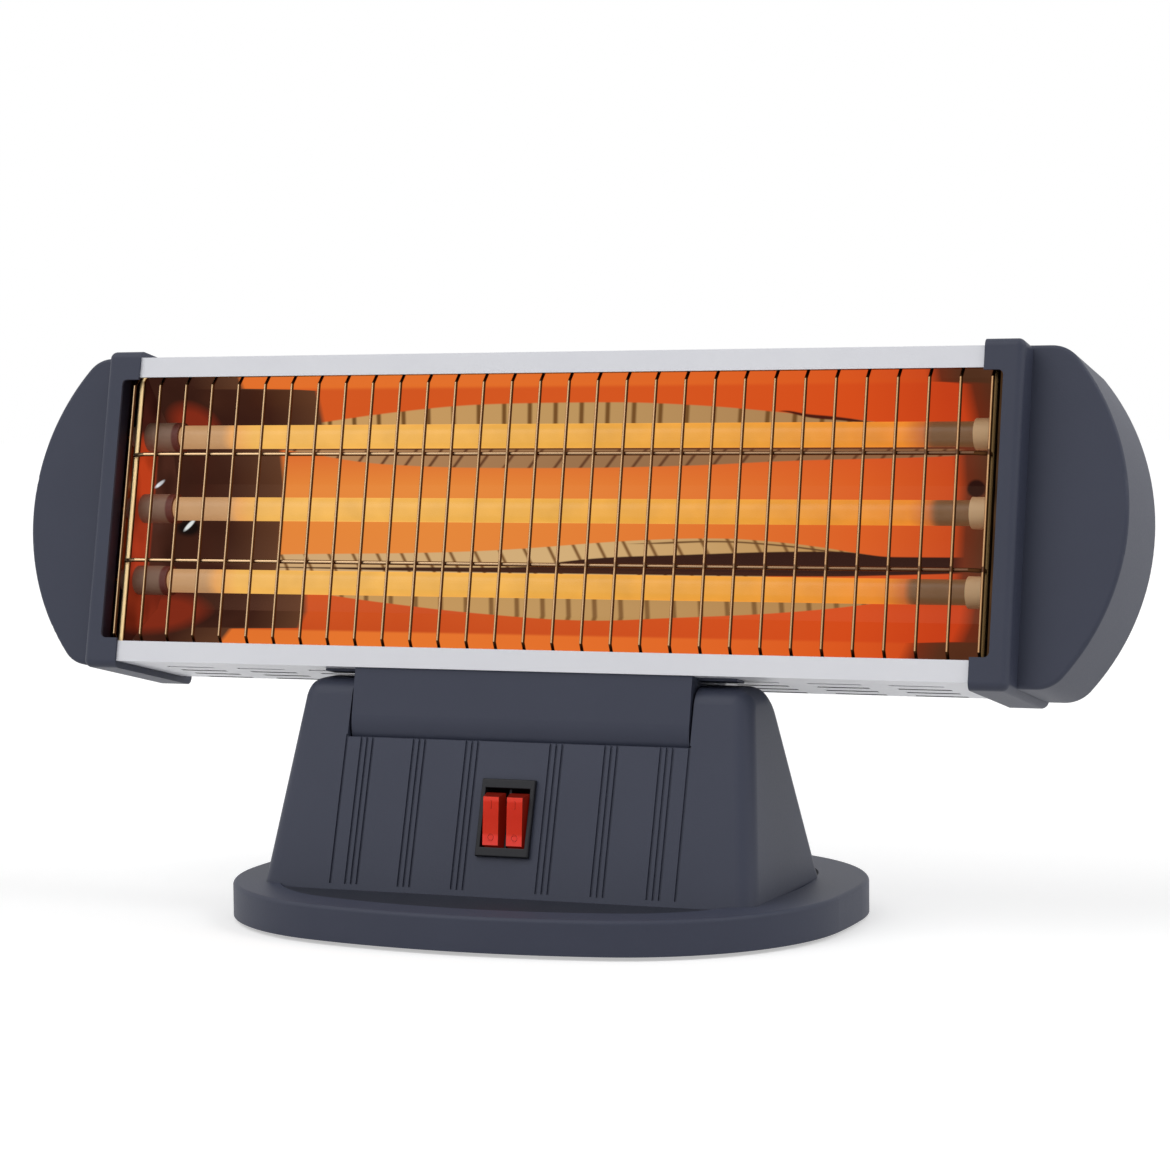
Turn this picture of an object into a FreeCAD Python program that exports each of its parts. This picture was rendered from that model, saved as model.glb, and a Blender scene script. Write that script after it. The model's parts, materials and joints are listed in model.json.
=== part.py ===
import FreeCAD, Part
import math
import os

import Sketcher
from FreeCAD import Placement, Rotation, Vector

# Free-standing quartz heater, millimetres and degrees, +Z up, front towards -Y.
# The origin is on the floor, under the middle of the oval base.
# Three frames are used: the stand stands in the world frame, the head is drawn upright
# about its tilt axis, and the switch is drawn square to the sloping front panel.

SIZES = {
    # oval base
    "foot_height": 1.5,
    "foot_diameter": 18.0,
    "foot_spacing_x": 150.0,
    "foot_spacing_y": 120.0,
    "base_length": 247.2,
    "base_depth": 196.0,
    "base_height": 13.3,
    "base_wall": 2.5,
    "base_front_radius": 265.0,
    "base_side_radius": 315.0,
    "base_corner_radius": 82.6,
    "base_edge_radius": 1.6,
    "well_side_gap": 1.5,
    "well_depth": 166.0,
    "well_sink": 1.2,
    "well_front_radius": 220.0,
    "well_side_radius": 150.0,
    "well_corner_radius": 55.0,
    "bottom_thickness": 1.2,
    "bottom_lift": 0.5,
    "seat_gap": 0.3,
    "margin": 1.0,
    # pedestal with its two ears
    "pedestal_length": 203.2,
    "pedestal_front": 49.9,
    "pedestal_back": 32.0,
    "front_slope": 17.06,
    "side_slope": 6.6,
    "back_slope": 22.0,
    "pedestal_wall": 2.5,
    "pedestal_edge_radius": 7.0,
    "ear_front_radius": 8.0,
    "ear_back_radius": 18.0,
    "ear_side_radius": 8.0,
    "notch_length": 142.4,
    "notch_rise": 56.0,
    "flute_width": 1.1,
    "flute_depth": 0.7,
    "flute_spacing": 2.45,
    "flute_first": 17.5,
    "flute_pitch": 22.4,
    # tilt axis and neck
    "pivot_rise": 60.7,
    "pivot_forward": 12.0,
    "neck_length": 140.4,
    "neck_radius": 18.9,
    "neck_wall": 2.5,
    "neck_gap": 0.6,
    "flange_length": 172.0,
    "flange_thickness": 1.0,
    "flange_setback": 7.0,
    "neck_screw_spacing_x": 93.6,
    "neck_screw_spacing_y": 12.6,
    "wing_depth": 8.0,
    "ear_gap": 0.4,
    "bolt_diameter": 6.0,
    "bolt_head_diameter": 11.0,
    "bolt_head_height": 3.5,
    "nut_width": 10.0,
    "nut_height": 4.0,
    "washer_diameter": 17.0,
    "running_gap": 0.05,
    # screws
    "screw_diameter": 3.0,
    "screw_head_diameter": 6.4,
    "screw_head_height": 2.0,
    "screw_length": 12.0,
    "boss_diameter": 8.0,
    # twin rocker switch
    "switch_rise": 27.8,
    "bezel_length": 22.0,
    "bezel_height": 30.0,
    "bezel_proud": 2.0,
    "switch_length": 19.6,
    "switch_height": 26.6,
    "switch_depth": 18.0,
    "switch_opening_length": 18.4,
    "switch_opening_height": 23.0,
    "switch_opening_depth": 10.0,
    "divider_thickness": 1.2,
    "rocker_side_gap": 0.3,
    "rocker_base_length": 21.0,
    "rocker_face_width": 6.4,
    "rocker_face_length": 18.4,
    "rocker_proud": 2.0,
    "rocker_axis_depth": 4.0,
    "rocker_axle_diameter": 2.4,
    "rocker_lean": 12.0,
    "blade_width": 4.8,
    "blade_thickness": 0.8,
    "blade_length": 8.0,
    # tip-over switch
    "tip_x": 45.0,
    "tip_y": -6.0,
    "tip_case_length": 20.0,
    "tip_case_height": 22.0,
    "tip_chamber_diameter": 11.0,
    "tip_pin_diameter": 6.0,
    "tip_pin_lift": 0.3,
    "tip_flange_rise": 8.0,
    "tip_spring_wire": 1.0,
    # cord inlet
    "gland_bore": 7.0,
    "gland_wall": 1.2,
    "gland_flange": 1.6,
    "gland_rise": 12.0,
    # head housing
    "head_tilt": 11.8,
    "head_lift": 18.5,
    "head_front": 19.9,
    "housing_length": 372.0,
    "housing_height": 124.5,
    "housing_depth": 57.5,
    "sheet_thickness": 1.0,
    "fold_radius": 3.0,
    "lip_height": 8.2,
    "slot_length": 21.0,
    "slot_width": 3.0,
    "slot_first": 17.5,
    "slot_pitch": 11.5,
    "slot_group_first": 88.5,
    "slot_group_pitch": 32.0,
    # end caps
    "cap_overlap": 8.9,
    "collar_length": 14.9,
    "collar_proud": 2.75,
    "collar_front": 1.2,
    "collar_depth": 62.8,
    "collar_edge_radius": 3.0,
    "collar_end_radius": 2.9,
    "window_edge": 184.5,
    "window_height": 106.0,
    "window_corner_radius": 2.0,
    "cap_reach": 230.1,
    "cap_height": 127.6,
    "cap_arc_radius": 92.0,
    "cap_raise": 1.0,
    "cap_corner_radius": 13.0,
    "cap_setback": 12.0,
    "cap_depth": 47.2,
    "cap_edge_radius": 1.5,
    "cap_wall": 2.5,
    # reflector, tubes and their holders
    "reflector_thickness": 0.8,
    "reflector_front": 6.0,
    "reflector_lip": 8.0,
    "reflector_bend_setback": 34.0,
    "reflector_bend_height": 73.1,
    "reflector_back_setback": 42.0,
    "reflector_back_height": 34.1,
    "tube_diameter": 9.6,
    "tube_wall": 1.0,
    "tube_length": 344.0,
    "tube_spacing": 29.7,
    "tube_raise": 2.8,
    "tube_shift": 3.0,
    "tube_setback": 18.0,
    "coil_diameter": 5.6,
    "coil_length": 289.0,
    "lead_diameter": 2.0,
    "lead_length": 380.0,
    "ceramic_diameter": 12.0,
    "ceramic_neck": 9.0,
    "ceramic_socket": 4.5,
    "ceramic_tail": 6.0,
    "bracket_position": 180.0,
    "bracket_thickness": 1.0,
    "bracket_depth": 39.2,
    "bracket_tab": 5.0,
    "strip_width": 8.0,
    "strip_thickness": 0.8,
    # front grille
    "wire_diameter": 1.3,
    "wire_pitch": 12.0,
    "wire_count": 31,
    "wire_straight": 102.0,
    "bar_diameter": 1.6,
    "bar_leg": 6.0,
    "bar_spacing": 43.4,
    "bar_raise": 1.1,
    "frame_diameter": 2.6,
    "frame_height": 113.0,
    "frame_setback": 7.6,
    "frame_bend": 3.0,
}

document = FreeCAD.newDocument("quartz_heater")
sheet = document.addObject("Spreadsheet::Sheet", "Size")
for row, (alias, size) in enumerate(SIZES.items(), 1):
    sheet.set(f"A{row}", alias.replace("_", " "))
    sheet.set(f"B{row}", str(size))
    sheet.setAlias(f"B{row}", alias)
document.recompute()

# Levels and places that several pieces share, as expressions of the driving sizes.
base_top = "(Size.foot_height + Size.base_height)"
well_floor = f"({base_top} - Size.well_sink)"
well_length = "(Size.pedestal_length + 2 * Size.well_side_gap)"
base_ceiling = f"({well_floor} - Size.base_wall)"
bottom_level = "(Size.foot_height + Size.bottom_lift)"
bottom_top = f"({bottom_level} + Size.bottom_thickness)"
pivot_y = "(-Size.pivot_forward)"
pivot_z = f"({base_top} + Size.pivot_rise)"
ear_rise = "(Size.pivot_rise + Size.head_lift - Size.flange_thickness - Size.ear_gap)"
trough_radius = "(Size.neck_radius + Size.neck_gap)"
ceiling_rise = f"(Size.pivot_rise - {trough_radius} - Size.pedestal_wall)"
front_y = "(-Size.head_front)"
under_z = "Size.head_lift"
middle_z = "(Size.head_lift + Size.housing_height / 2)"
head_top_z = "(Size.head_lift + Size.housing_height)"
housing_end = "(Size.housing_length / 2)"
cap_start = f"({housing_end} - Size.cap_overlap)"
collar_end = f"({cap_start} + Size.collar_length)"
bolt_radius = "(Size.bolt_diameter / 2)"
bolt_hole = f"({bolt_radius} + Size.running_gap)"
screw_radius = "(Size.screw_diameter / 2)"
pilot_radius = f"({screw_radius} + Size.running_gap)"
screw_hole = f"({screw_radius} + Size.seat_gap)"


def half_length(rise):
    return f"(Size.pedestal_length / 2 - ({rise}) * tan(Size.side_slope * 1deg))"


def front_at(rise):
    return f"(({rise}) * tan(Size.front_slope * 1deg) - Size.pedestal_front)"


def back_at(rise):
    return f"(Size.pedestal_back - ({rise}) * tan(Size.back_slope * 1deg))"


# Drawing helpers: sketches whose points and radii are bound to the sheet.

nodes = {}


def number(expression):
    return float(sheet.evalExpression(str(expression)))


def new_body(label):
    body = document.addObject("PartDesign::Body", label)
    body.Label = label
    nodes[label] = body
    return body


def lean_back(thing, angle, y, z):
    """Place a piece with its own axes leaning back by an angle about X through (y, z)."""
    thing.Placement = Placement(Vector(0, 0, 0), Rotation(Vector(-1, 0, 0), 1))
    thing.setExpression("Placement.Base.y", y)
    thing.setExpression("Placement.Base.z", z)
    thing.setExpression("Placement.Rotation.Angle", angle)
    return thing


def in_head(thing, y="0", z="0"):
    tilt = "Size.head_tilt * 1deg"
    world_y = f"{pivot_y} + ({y}) * cos({tilt}) + ({z}) * sin({tilt})"
    world_z = f"{pivot_z} - ({y}) * sin({tilt}) + ({z}) * cos({tilt})"
    return lean_back(thing, "Size.head_tilt", world_y, world_z)


panel_y = front_at("Size.switch_rise")
panel_z = f"({base_top} + Size.switch_rise)"


def on_panel(thing):
    return lean_back(thing, "Size.front_slope", panel_y, panel_z)


def sketch_on(body, name, plane, offset="0"):
    sketch = body.newObject("Sketcher::SketchObject", f"{body.Name}_{name}")
    support = next(item for item in body.Origin.OriginFeatures if item.Role == plane)
    sketch.AttachmentSupport = [(support, "")]
    sketch.MapMode = "FlatFace"
    sketch.setExpression("AttachmentOffset.Base.z", offset)
    return sketch


def bind(sketch, kind, places, expression):
    index = sketch.addConstraint(Sketcher.Constraint(kind, *places, number(expression)))
    sketch.setExpression(f"Constraints[{index}]", expression)


def arc_between(a, b, radius):
    """Minor arc from a to b; a positive radius keeps the centre on the left of the way."""
    chord = b - a
    side = 1 if radius > 0 else -1
    height = math.sqrt(max(radius * radius - chord.Length ** 2 / 4, 0))
    left = Vector(-chord.y, chord.x, 0) / chord.Length
    centre = (a + b) / 2 + left * side * height
    first, last = (a, b) if side > 0 else (b, a)
    angles = [math.atan2(p.y - centre.y, p.x - centre.x) for p in (first, last)]
    circle = Part.Circle(centre, Vector(0, 0, 1), abs(radius))
    return Part.ArcOfCircle(circle, angles[0], angles[1])


def loop(sketch, corners):
    """Closed outline: a corner is (x, y), or (x, y, radius) where an arc leads to the next."""
    spots = [Vector(number(corner[0]), number(corner[1]), 0) for corner in corners]
    starts, ends = [], []
    for i, corner in enumerate(corners):
        a, b = spots[i], spots[(i + 1) % len(spots)]
        if len(corner) == 2:
            edge = sketch.addGeometry(Part.LineSegment(a, b))
            turned = False
        else:
            radius = number(corner[2])
            edge = sketch.addGeometry(arc_between(a, b, radius))
            turned = radius < 0
            bind(sketch, "Radius", (edge,), f"abs({corner[2]})")
        starts.append((edge, 2 if turned else 1))
        ends.append((edge, 1 if turned else 2))
    for i, corner in enumerate(corners):
        sketch.addConstraint(Sketcher.Constraint("Coincident", *ends[i - 1], *starts[i]))
        bind(sketch, "DistanceX", (-1, 1, *starts[i]), corner[0])
        bind(sketch, "DistanceY", (-1, 1, *starts[i]), corner[1])


def rectangle(sketch, x0, y0, x1, y1):
    loop(sketch, [(x0, y0), (x1, y0), (x1, y1), (x0, y1)])


def ring(sketch, x, y, radius):
    circle = Part.Circle(Vector(number(x), number(y), 0), Vector(0, 0, 1), number(radius))
    edge = sketch.addGeometry(circle)
    bind(sketch, "DistanceX", (-1, 1, edge, 3), x)
    bind(sketch, "DistanceY", (-1, 1, edge, 3), y)
    bind(sketch, "Radius", (edge,), radius)


def oval(sketch, length, depth, front_radius, side_radius, corner_radius, inset="0"):
    """Eight tangent arcs: shallow front, back and sides joined by rounder corners."""
    radii = [f"({r} - {inset})" for r in (front_radius, side_radius, corner_radius)]
    front, side, corner = (number(r) for r in radii)
    front_centre = f"({front_radius} - {depth} / 2)"
    side_centre = f"({side_radius} - {length} / 2)"
    far, across = number(front_centre), number(side_centre)
    # centre of the right back corner arc, inside both of its neighbours
    base = Vector(0, -far, 0)
    gap = Vector(-across, far, 0)
    reach, other = front - corner, side - corner
    along = (reach ** 2 - other ** 2 + gap.Length ** 2) / (2 * gap.Length)
    axis = gap / gap.Length
    offset = math.sqrt(reach ** 2 - along ** 2)
    middle = base + axis * along + Vector(axis.y, -axis.x, 0) * offset
    lean = math.atan2(middle.y + far, middle.x)
    rise = math.atan2(middle.y, middle.x + across)
    half_turn = math.pi
    pieces = [
        (Vector(-across, 0, 0), side, -rise, rise),
        (middle, corner, rise, lean),
        (Vector(0, -far, 0), front, lean, half_turn - lean),
        (Vector(-middle.x, middle.y, 0), corner, half_turn - lean, half_turn - rise),
        (Vector(across, 0, 0), side, half_turn - rise, half_turn + rise),
        (-middle, corner, half_turn + rise, half_turn + lean),
        (Vector(0, far, 0), front, half_turn + lean, 2 * half_turn - lean),
        (Vector(middle.x, -middle.y, 0), corner, -lean, -rise),
    ]
    edges = []
    for centre, radius, start, end in pieces:
        circle = Part.Circle(centre, Vector(0, 0, 1), radius)
        edges.append(sketch.addGeometry(Part.ArcOfCircle(circle, start, end)))
    for i, edge in enumerate(edges):
        following = edges[(i + 1) % len(edges)]
        sketch.addConstraint(Sketcher.Constraint("Tangent", edge, 2, following, 1))
    for edge, radius in zip(edges, (1, 2, 0, 2, 1, 2, 0, 2)):
        bind(sketch, "Radius", (edge,), radii[radius])
    for edge, x, y in (
        (edges[0], f"-{side_centre}", "0"),
        (edges[4], side_centre, "0"),
        (edges[2], "0", f"-{front_centre}"),
        (edges[6], "0", front_centre),
    ):
        bind(sketch, "DistanceX", (-1, 1, edge, 3), x)
        bind(sketch, "DistanceY", (-1, 1, edge, 3), y)


def feature(body, kind, name):
    made = body.newObject(f"PartDesign::{kind}", name)
    body.Tip = made
    return made


def pad(body, sketch, length, reverse=False):
    made = feature(body, "Pad", f"{sketch.Name}_pad")
    made.Profile = sketch
    made.setExpression("Length", length)
    made.Reversed = reverse
    document.recompute()
    return made


def pocket(body, sketch, length, reverse=False):
    before = body.Shape.Volume
    made = feature(body, "Pocket", f"{sketch.Name}_pocket")
    made.Profile = sketch
    made.setExpression("Length", length)
    made.Reversed = reverse
    document.recompute()
    if body.Shape.Volume > before - 1e-6:
        raise RuntimeError(f"{made.Name} cuts nothing")
    return made


def mirror(body, original):
    made = feature(body, "Mirrored", f"{original.Name}_mirrored")
    made.Originals = [original]
    made.MirrorPlane = (next(f for f in body.Origin.OriginFeatures if f.Role == "YZ_Plane"), [""])
    document.recompute()
    return made


def revolve(body, sketch):
    made = feature(body, "Revolution", f"{sketch.Name}_turned")
    made.Profile = sketch
    made.ReferenceAxis = (next(f for f in body.Origin.OriginFeatures if f.Role == "X_Axis"), [""])
    made.Angle = 360
    document.recompute()
    return made


def round_edges(body, name, radius, chosen):
    base = body.Tip
    edges = [f"Edge{i}" for i, edge in enumerate(base.Shape.Edges, 1) if chosen(edge)]
    made = feature(body, "Fillet", f"{body.Name}_{name}")
    made.Base = (base, edges)
    made.setExpression("Radius", radius)
    document.recompute()
    return made


def is_line(edge):
    return edge.Curve.TypeId == "Part::GeomLine"


def direction(edge):
    first, last = edge.Vertexes[0].Point, edge.Vertexes[-1].Point
    return (last - first).normalize()


def flat_at(edge, axis, place):
    """True for an edge that lies in the plane where one coordinate has the given value."""
    low, high = {
        "y": (edge.BoundBox.YMin, edge.BoundBox.YMax),
        "z": (edge.BoundBox.ZMin, edge.BoundBox.ZMax),
    }[axis]
    return abs(low - place) < 0.01 and abs(high - place) < 0.01


TURNS = {
    "x": Rotation(Vector(0, 1, 0), 90),
    "y": Rotation(Vector(1, 0, 0), -90),
    "z": Rotation(),
    "-z": Rotation(Vector(1, 0, 0), 180),
    "-x": Rotation(Vector(0, 1, 0), -90),
    "-y": Rotation(Vector(1, 0, 0), 90),
}


def set_base(thing, x, y, z, turn="z"):
    thing.Placement = Placement(Vector(0, 0, 0), TURNS[turn])
    for axis, place in zip("xyz", (x, y, z)):
        thing.setExpression(f"Placement.Base.{axis}", str(place))
    return thing


def rod(name, radius, length, x, y, z, turn="z"):
    made = document.addObject("Part::Cylinder", name)
    made.setExpression("Radius", radius)
    made.setExpression("Height", length)
    return set_base(made, x, y, z, turn)


def block(name, size, x, y, z):
    made = document.addObject("Part::Box", name)
    for prop, length in zip(("Length", "Width", "Height"), size):
        made.setExpression(prop, length)
    return set_base(made, x, y, z)


def joined(name, base, tool):
    made = document.addObject("Part::Fuse", name)
    made.Base, made.Tool = base, tool
    return made


def cut(name, base, tool):
    made = document.addObject("Part::Cut", name)
    made.Base, made.Tool = base, tool
    return made


def group(label, pieces):
    made = document.addObject("Part::Compound", label)
    made.Links = pieces
    made.Label = label
    nodes[label] = made
    return made


def screw(name, x, y, z, turn, length="Size.screw_length", height="Size.screw_head_height"):
    """Pan-head screw: the point (x, y, z) is under its head and the shank runs along turn."""
    back = {"z": "-z", "-z": "z", "-y": "y"}[turn]
    shank = rod(f"{name}_shank", screw_radius, length, x, y, z, turn)
    head = rod(f"{name}_head", "Size.screw_head_diameter / 2", height, x, y, z, back)
    return joined(name, shank, head)


SIDES = {"left": -1, "right": 1}
boss_radius = "(Size.boss_diameter / 2)"
gland_sleeve = "(Size.gland_bore / 2 + Size.gland_wall)"

# Places of the screws, as (x, y) in the world frame or in the head's own frame.
base_screw_spots = [
    (f"{sx} * (Size.foot_spacing_x / 2 - Size.foot_diameter)", f"{sy} * Size.foot_spacing_y / 2")
    for sx in (-1, 1) for sy in (-1, 1)
]
pedestal_screw_x = "(Size.pedestal_length / 2 - Size.pedestal_wall - Size.boss_diameter / 2)"
pedestal_screw_spots = [
    (f"{sx} * {pedestal_screw_x}", y)
    for sx in (-1, 1)
    for y in ("(-Size.pedestal_front / 2)", "(Size.pedestal_back / 3)")
]
neck_screw_spots = [
    (f"{sx} * Size.neck_screw_spacing_x / 2", f"{sy} * Size.neck_screw_spacing_y / 2")
    for sx in (-1, 1) for sy in (-1, 1)
]


def base_outline(sketch, inset="0"):
    oval(sketch, "Size.base_length", "Size.base_depth", "Size.base_front_radius",
         "Size.base_side_radius", "Size.base_corner_radius", inset)


def well_outline(sketch, inset="0"):
    oval(sketch, well_length, "Size.well_depth", "Size.well_front_radius",
         "Size.well_side_radius", "Size.well_corner_radius", inset)


def make_base_plate(body):
    """Moulded oval tray, open below, with a shallow well that the pedestal stands in."""
    outer = sketch_on(body, "outline", "XY_Plane", "Size.foot_height")
    base_outline(outer)
    pad(body, outer, "Size.base_height")
    top = number(base_top)
    round_edges(body, "rim", "Size.base_edge_radius", lambda edge: flat_at(edge, "z", top))
    hollow = sketch_on(body, "hollow", "XY_Plane", "Size.foot_height")
    base_outline(hollow, "Size.base_wall")
    pocket(body, hollow, f"{base_ceiling} - Size.foot_height", reverse=True)
    well = sketch_on(body, "well", "XY_Plane", base_top)
    well_outline(well)
    pocket(body, well, "Size.well_sink")
    posts = sketch_on(body, "posts", "XY_Plane", bottom_top)
    for x, y in base_screw_spots:
        ring(posts, x, y, boss_radius)
    pad(body, posts, f"{base_ceiling} - {bottom_top}")
    pilots = sketch_on(body, "pilots", "XY_Plane", bottom_top)
    for x, y in base_screw_spots:
        ring(pilots, x, y, pilot_radius)
    pocket(body, pilots, f"{well_floor} - {bottom_top} - Size.base_wall / 2", reverse=True)
    holes = sketch_on(body, "holes", "XY_Plane", well_floor)
    for x, y in pedestal_screw_spots:
        ring(holes, x, y, screw_hole)
    ring(holes, "Size.tip_x", "Size.tip_y", "(Size.tip_pin_diameter / 2 + Size.seat_gap)")
    pocket(body, holes, "Size.base_wall")


def make_bottom_plate(body):
    """Steel sheet that closes the tray and carries the feet."""
    outline = sketch_on(body, "outline", "XY_Plane", bottom_level)
    base_outline(outline, "(Size.base_wall + Size.seat_gap)")
    for x, y in base_screw_spots:
        ring(outline, x, y, screw_hole)
    ring(outline, "Size.tip_x", "Size.tip_y", "(Size.tip_pin_diameter / 2 + Size.seat_gap)")
    pad(body, outline, "Size.bottom_thickness")


def make_feet():
    feet = []
    for sx in (-1, 1):
        for sy in (-1, 1):
            x, y = f"{sx} * Size.foot_spacing_x / 2", f"{sy} * Size.foot_spacing_y / 2"
            name = f"foot_{len(feet) + 1}"
            feet.append(rod(name, "Size.foot_diameter / 2", bottom_level, x, y, "0"))
    group("rubber_feet", feet)


def make_stand_screws():
    length, height = f"{base_ceiling} - {bottom_level}", "Size.bottom_lift * 2"
    group("bottom_screws", [screw(f"bottom_screw_{i}", x, y, bottom_level, "z", length, height)
                            for i, (x, y) in enumerate(base_screw_spots, 1)])
    group("pedestal_screws", [screw(f"pedestal_screw_{i}", x, y, base_ceiling, "z")
                              for i, (x, y) in enumerate(pedestal_screw_spots, 1)])


def make_pedestal(body):
    """Moulded shell: sloping fluted front, sloping back, and two ears that carry the neck."""
    ear_top = f"({base_top} + {ear_rise})"
    front, back = "Size.front_slope * 1deg", "Size.back_slope * 1deg"
    front_run = f"Size.ear_front_radius * tan((90deg - {front}) / 2)"
    back_run = f"Size.ear_back_radius * tan((90deg - {back}) / 2)"
    front_corner, back_corner = front_at(ear_rise), back_at(ear_rise)
    reach = f"({half_length('-Size.well_sink')} + Size.margin)"
    side = sketch_on(body, "side_view", "YZ_Plane", f"-{reach}")
    loop(side, [
        (front_at("-Size.well_sink"), well_floor),
        (back_at("-Size.well_sink"), well_floor),
        (f"{back_corner} + {back_run} * sin({back})", f"{ear_top} - {back_run} * cos({back})",
         "Size.ear_back_radius"),
        (f"{back_corner} - {back_run}", ear_top),
        (f"{front_corner} + {front_run}", ear_top, "Size.ear_front_radius"),
        (f"{front_corner} - {front_run} * sin({front})", f"{ear_top} - {front_run} * cos({front})"),
    ])
    pad(body, side, f"2 * {reach}")

    slope = "Size.side_slope * 1deg"
    run = f"Size.ear_side_radius * tan((90deg - {slope}) / 2)"
    corner = half_length(ear_rise)
    ahead = "(Size.pedestal_front + Size.well_sink + Size.margin)"
    whole_depth = f"(2 * {ahead} + Size.pedestal_back)"
    flank = sketch_on(body, "flank", "XZ_Plane", ahead)
    loop(flank, [
        (half_length("-Size.well_sink - Size.margin"), f"{well_floor} - Size.margin"),
        (f"{reach} + Size.margin", f"{well_floor} - Size.margin"),
        (f"{reach} + Size.margin", f"{ear_top} + Size.margin"),
        (f"{corner} - {run}", f"{ear_top} + Size.margin"),
        (f"{corner} - {run}", ear_top, "-Size.ear_side_radius"),
        (f"{corner} + {run} * sin({slope})", f"{ear_top} - {run} * cos({slope})"),
    ])
    mirror(body, pocket(body, flank, whole_depth))
    flank_x = number(half_length(ear_rise)) - number("Size.ear_side_radius")

    def upright(edge):
        return is_line(edge) and abs(direction(edge).z) > 0.7 and abs(edge.CenterOfMass.x) > flank_x

    round_edges(body, "edges", "Size.pedestal_edge_radius", upright)

    notch = sketch_on(body, "notch", "XZ_Plane", ahead)
    rectangle(notch, "-Size.notch_length / 2", f"{base_top} + Size.notch_rise",
              "Size.notch_length / 2", f"{ear_top} + Size.margin")
    pocket(body, notch, whole_depth)
    trough = sketch_on(body, "trough", "YZ_Plane", "-Size.notch_length / 2")
    ring(trough, pivot_y, pivot_z, trough_radius)
    pocket(body, trough, "Size.notch_length", reverse=True)
    hollow_pedestal(body)

    skirt = sketch_on(body, "skirt", "XY_Plane", f"{well_floor} - Size.margin")
    outside = "Size.base_length / 2"
    rectangle(skirt, f"-{outside}", f"-{outside}", outside, outside)
    well_outline(skirt, "Size.seat_gap")
    pocket(body, skirt, "Size.well_sink + Size.margin", reverse=True)

    bosses = sketch_on(body, "bosses", "XY_Plane", well_floor)
    for x, y in pedestal_screw_spots:
        ring(bosses, x, y, boss_radius)
    pad(body, bosses, "Size.screw_length")
    pilots = sketch_on(body, "pilots", "XY_Plane", well_floor)
    for x, y in pedestal_screw_spots:
        ring(pilots, x, y, pilot_radius)
    pocket(body, pilots, "Size.screw_length - Size.margin", reverse=True)

    ear_inside = "(Size.notch_length / 2 + Size.pedestal_wall + Size.margin)"
    bolts = sketch_on(body, "bolt_holes", "YZ_Plane", f"-{ear_inside}")
    ring(bolts, pivot_y, pivot_z, bolt_hole)
    pocket(body, bolts, f"2 * {ear_inside}", reverse=True)
    pierce_pedestal(body)


def hollow_pedestal(body):
    """Room inside for the wiring: one under the trough and one in each ear."""
    def level(name, rise, inner, margin):
        sketch = sketch_on(body, name, "XY_Plane", f"{base_top} + {rise}")
        outer = f"{half_length(rise)} - Size.pedestal_wall - {margin}"
        near = f"{front_at(rise)} + Size.pedestal_wall + {margin}"
        far = f"{back_at(rise)} - Size.pedestal_wall - {margin}"
        rectangle(sketch, inner or f"-({outer})", near, outer, far)
        return sketch

    def hollow(name, low, high, inner=None, margin="0"):
        before = body.Shape.Volume
        sections = [level(f"{name}_low", low, inner, "0"), level(f"{name}_high", high, inner, margin)]
        made = feature(body, "SubtractiveLoft", f"pedestal_{name}")
        made.Profile = sections[0]
        made.Sections = sections[1:]
        made.Ruled = True
        document.recompute()
        if body.Shape.Volume > before - 1e-6:
            raise RuntimeError(f"{made.Name} cuts nothing")
        return made

    hollow("room", "-Size.well_sink", ceiling_rise)
    ear = hollow("ear", f"({ceiling_rise} - Size.seat_gap)", f"({ear_rise} - Size.ear_front_radius)",
                 "(Size.notch_length / 2 + Size.pedestal_wall)", "Size.pedestal_wall")
    mirror(body, ear)


def sloping_sketch(body, name, ahead, slope):
    """Sketch in a leaning wall, from the line where the wall meets the top of the base."""
    sketch = sketch_on(body, name, "XZ_Plane", ahead)
    sketch.AttachmentOffset = Placement(Vector(0, 0, 0), Rotation(Vector(-1, 0, 0), 1))
    sketch.setExpression("AttachmentOffset.Base.y", base_top)
    sketch.setExpression("AttachmentOffset.Rotation.Angle", slope)
    return sketch


def pierce_pedestal(body):
    """Groups of three fine grooves down the front, a seam at each side, the switch and cord holes."""
    def on_front(name):
        return sloping_sketch(body, name, "Size.pedestal_front", "Size.front_slope")

    lean = "cos(Size.front_slope * 1deg)"
    low, high = "Size.margin", f"(Size.notch_rise / {lean} + Size.margin)"
    grooves = on_front("flutes")
    places = ["Size.notch_length / 2"]
    for band in range(3):
        for line in (-1, 0, 1):
            places.append(f"Size.flute_first + {band} * Size.flute_pitch + {line} * Size.flute_spacing")
    for place in places:
        rectangle(grooves, f"{place} - Size.flute_width / 2", low, f"{place} + Size.flute_width / 2", high)
    mirror(body, pocket(body, grooves, "Size.flute_depth"))
    opening = on_front("switch_hole")
    centre = f"Size.switch_rise / {lean}"
    half_x = "(Size.switch_length / 2 + Size.running_gap)"
    half_z = "(Size.switch_height / 2 + Size.running_gap)"
    rectangle(opening, f"-{half_x}", f"{centre} - {half_z}", half_x, f"{centre} + {half_z}")
    pocket(body, opening, "Size.switch_depth + Size.margin")
    inlet = sloping_sketch(body, "inlet", "-Size.pedestal_back", "-Size.back_slope")
    ring(inlet, "0", "Size.gland_rise / cos(Size.back_slope * 1deg)", f"{gland_sleeve} + Size.running_gap")
    pocket(body, inlet, "Size.pedestal_wall + Size.margin", reverse=True)


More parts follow.
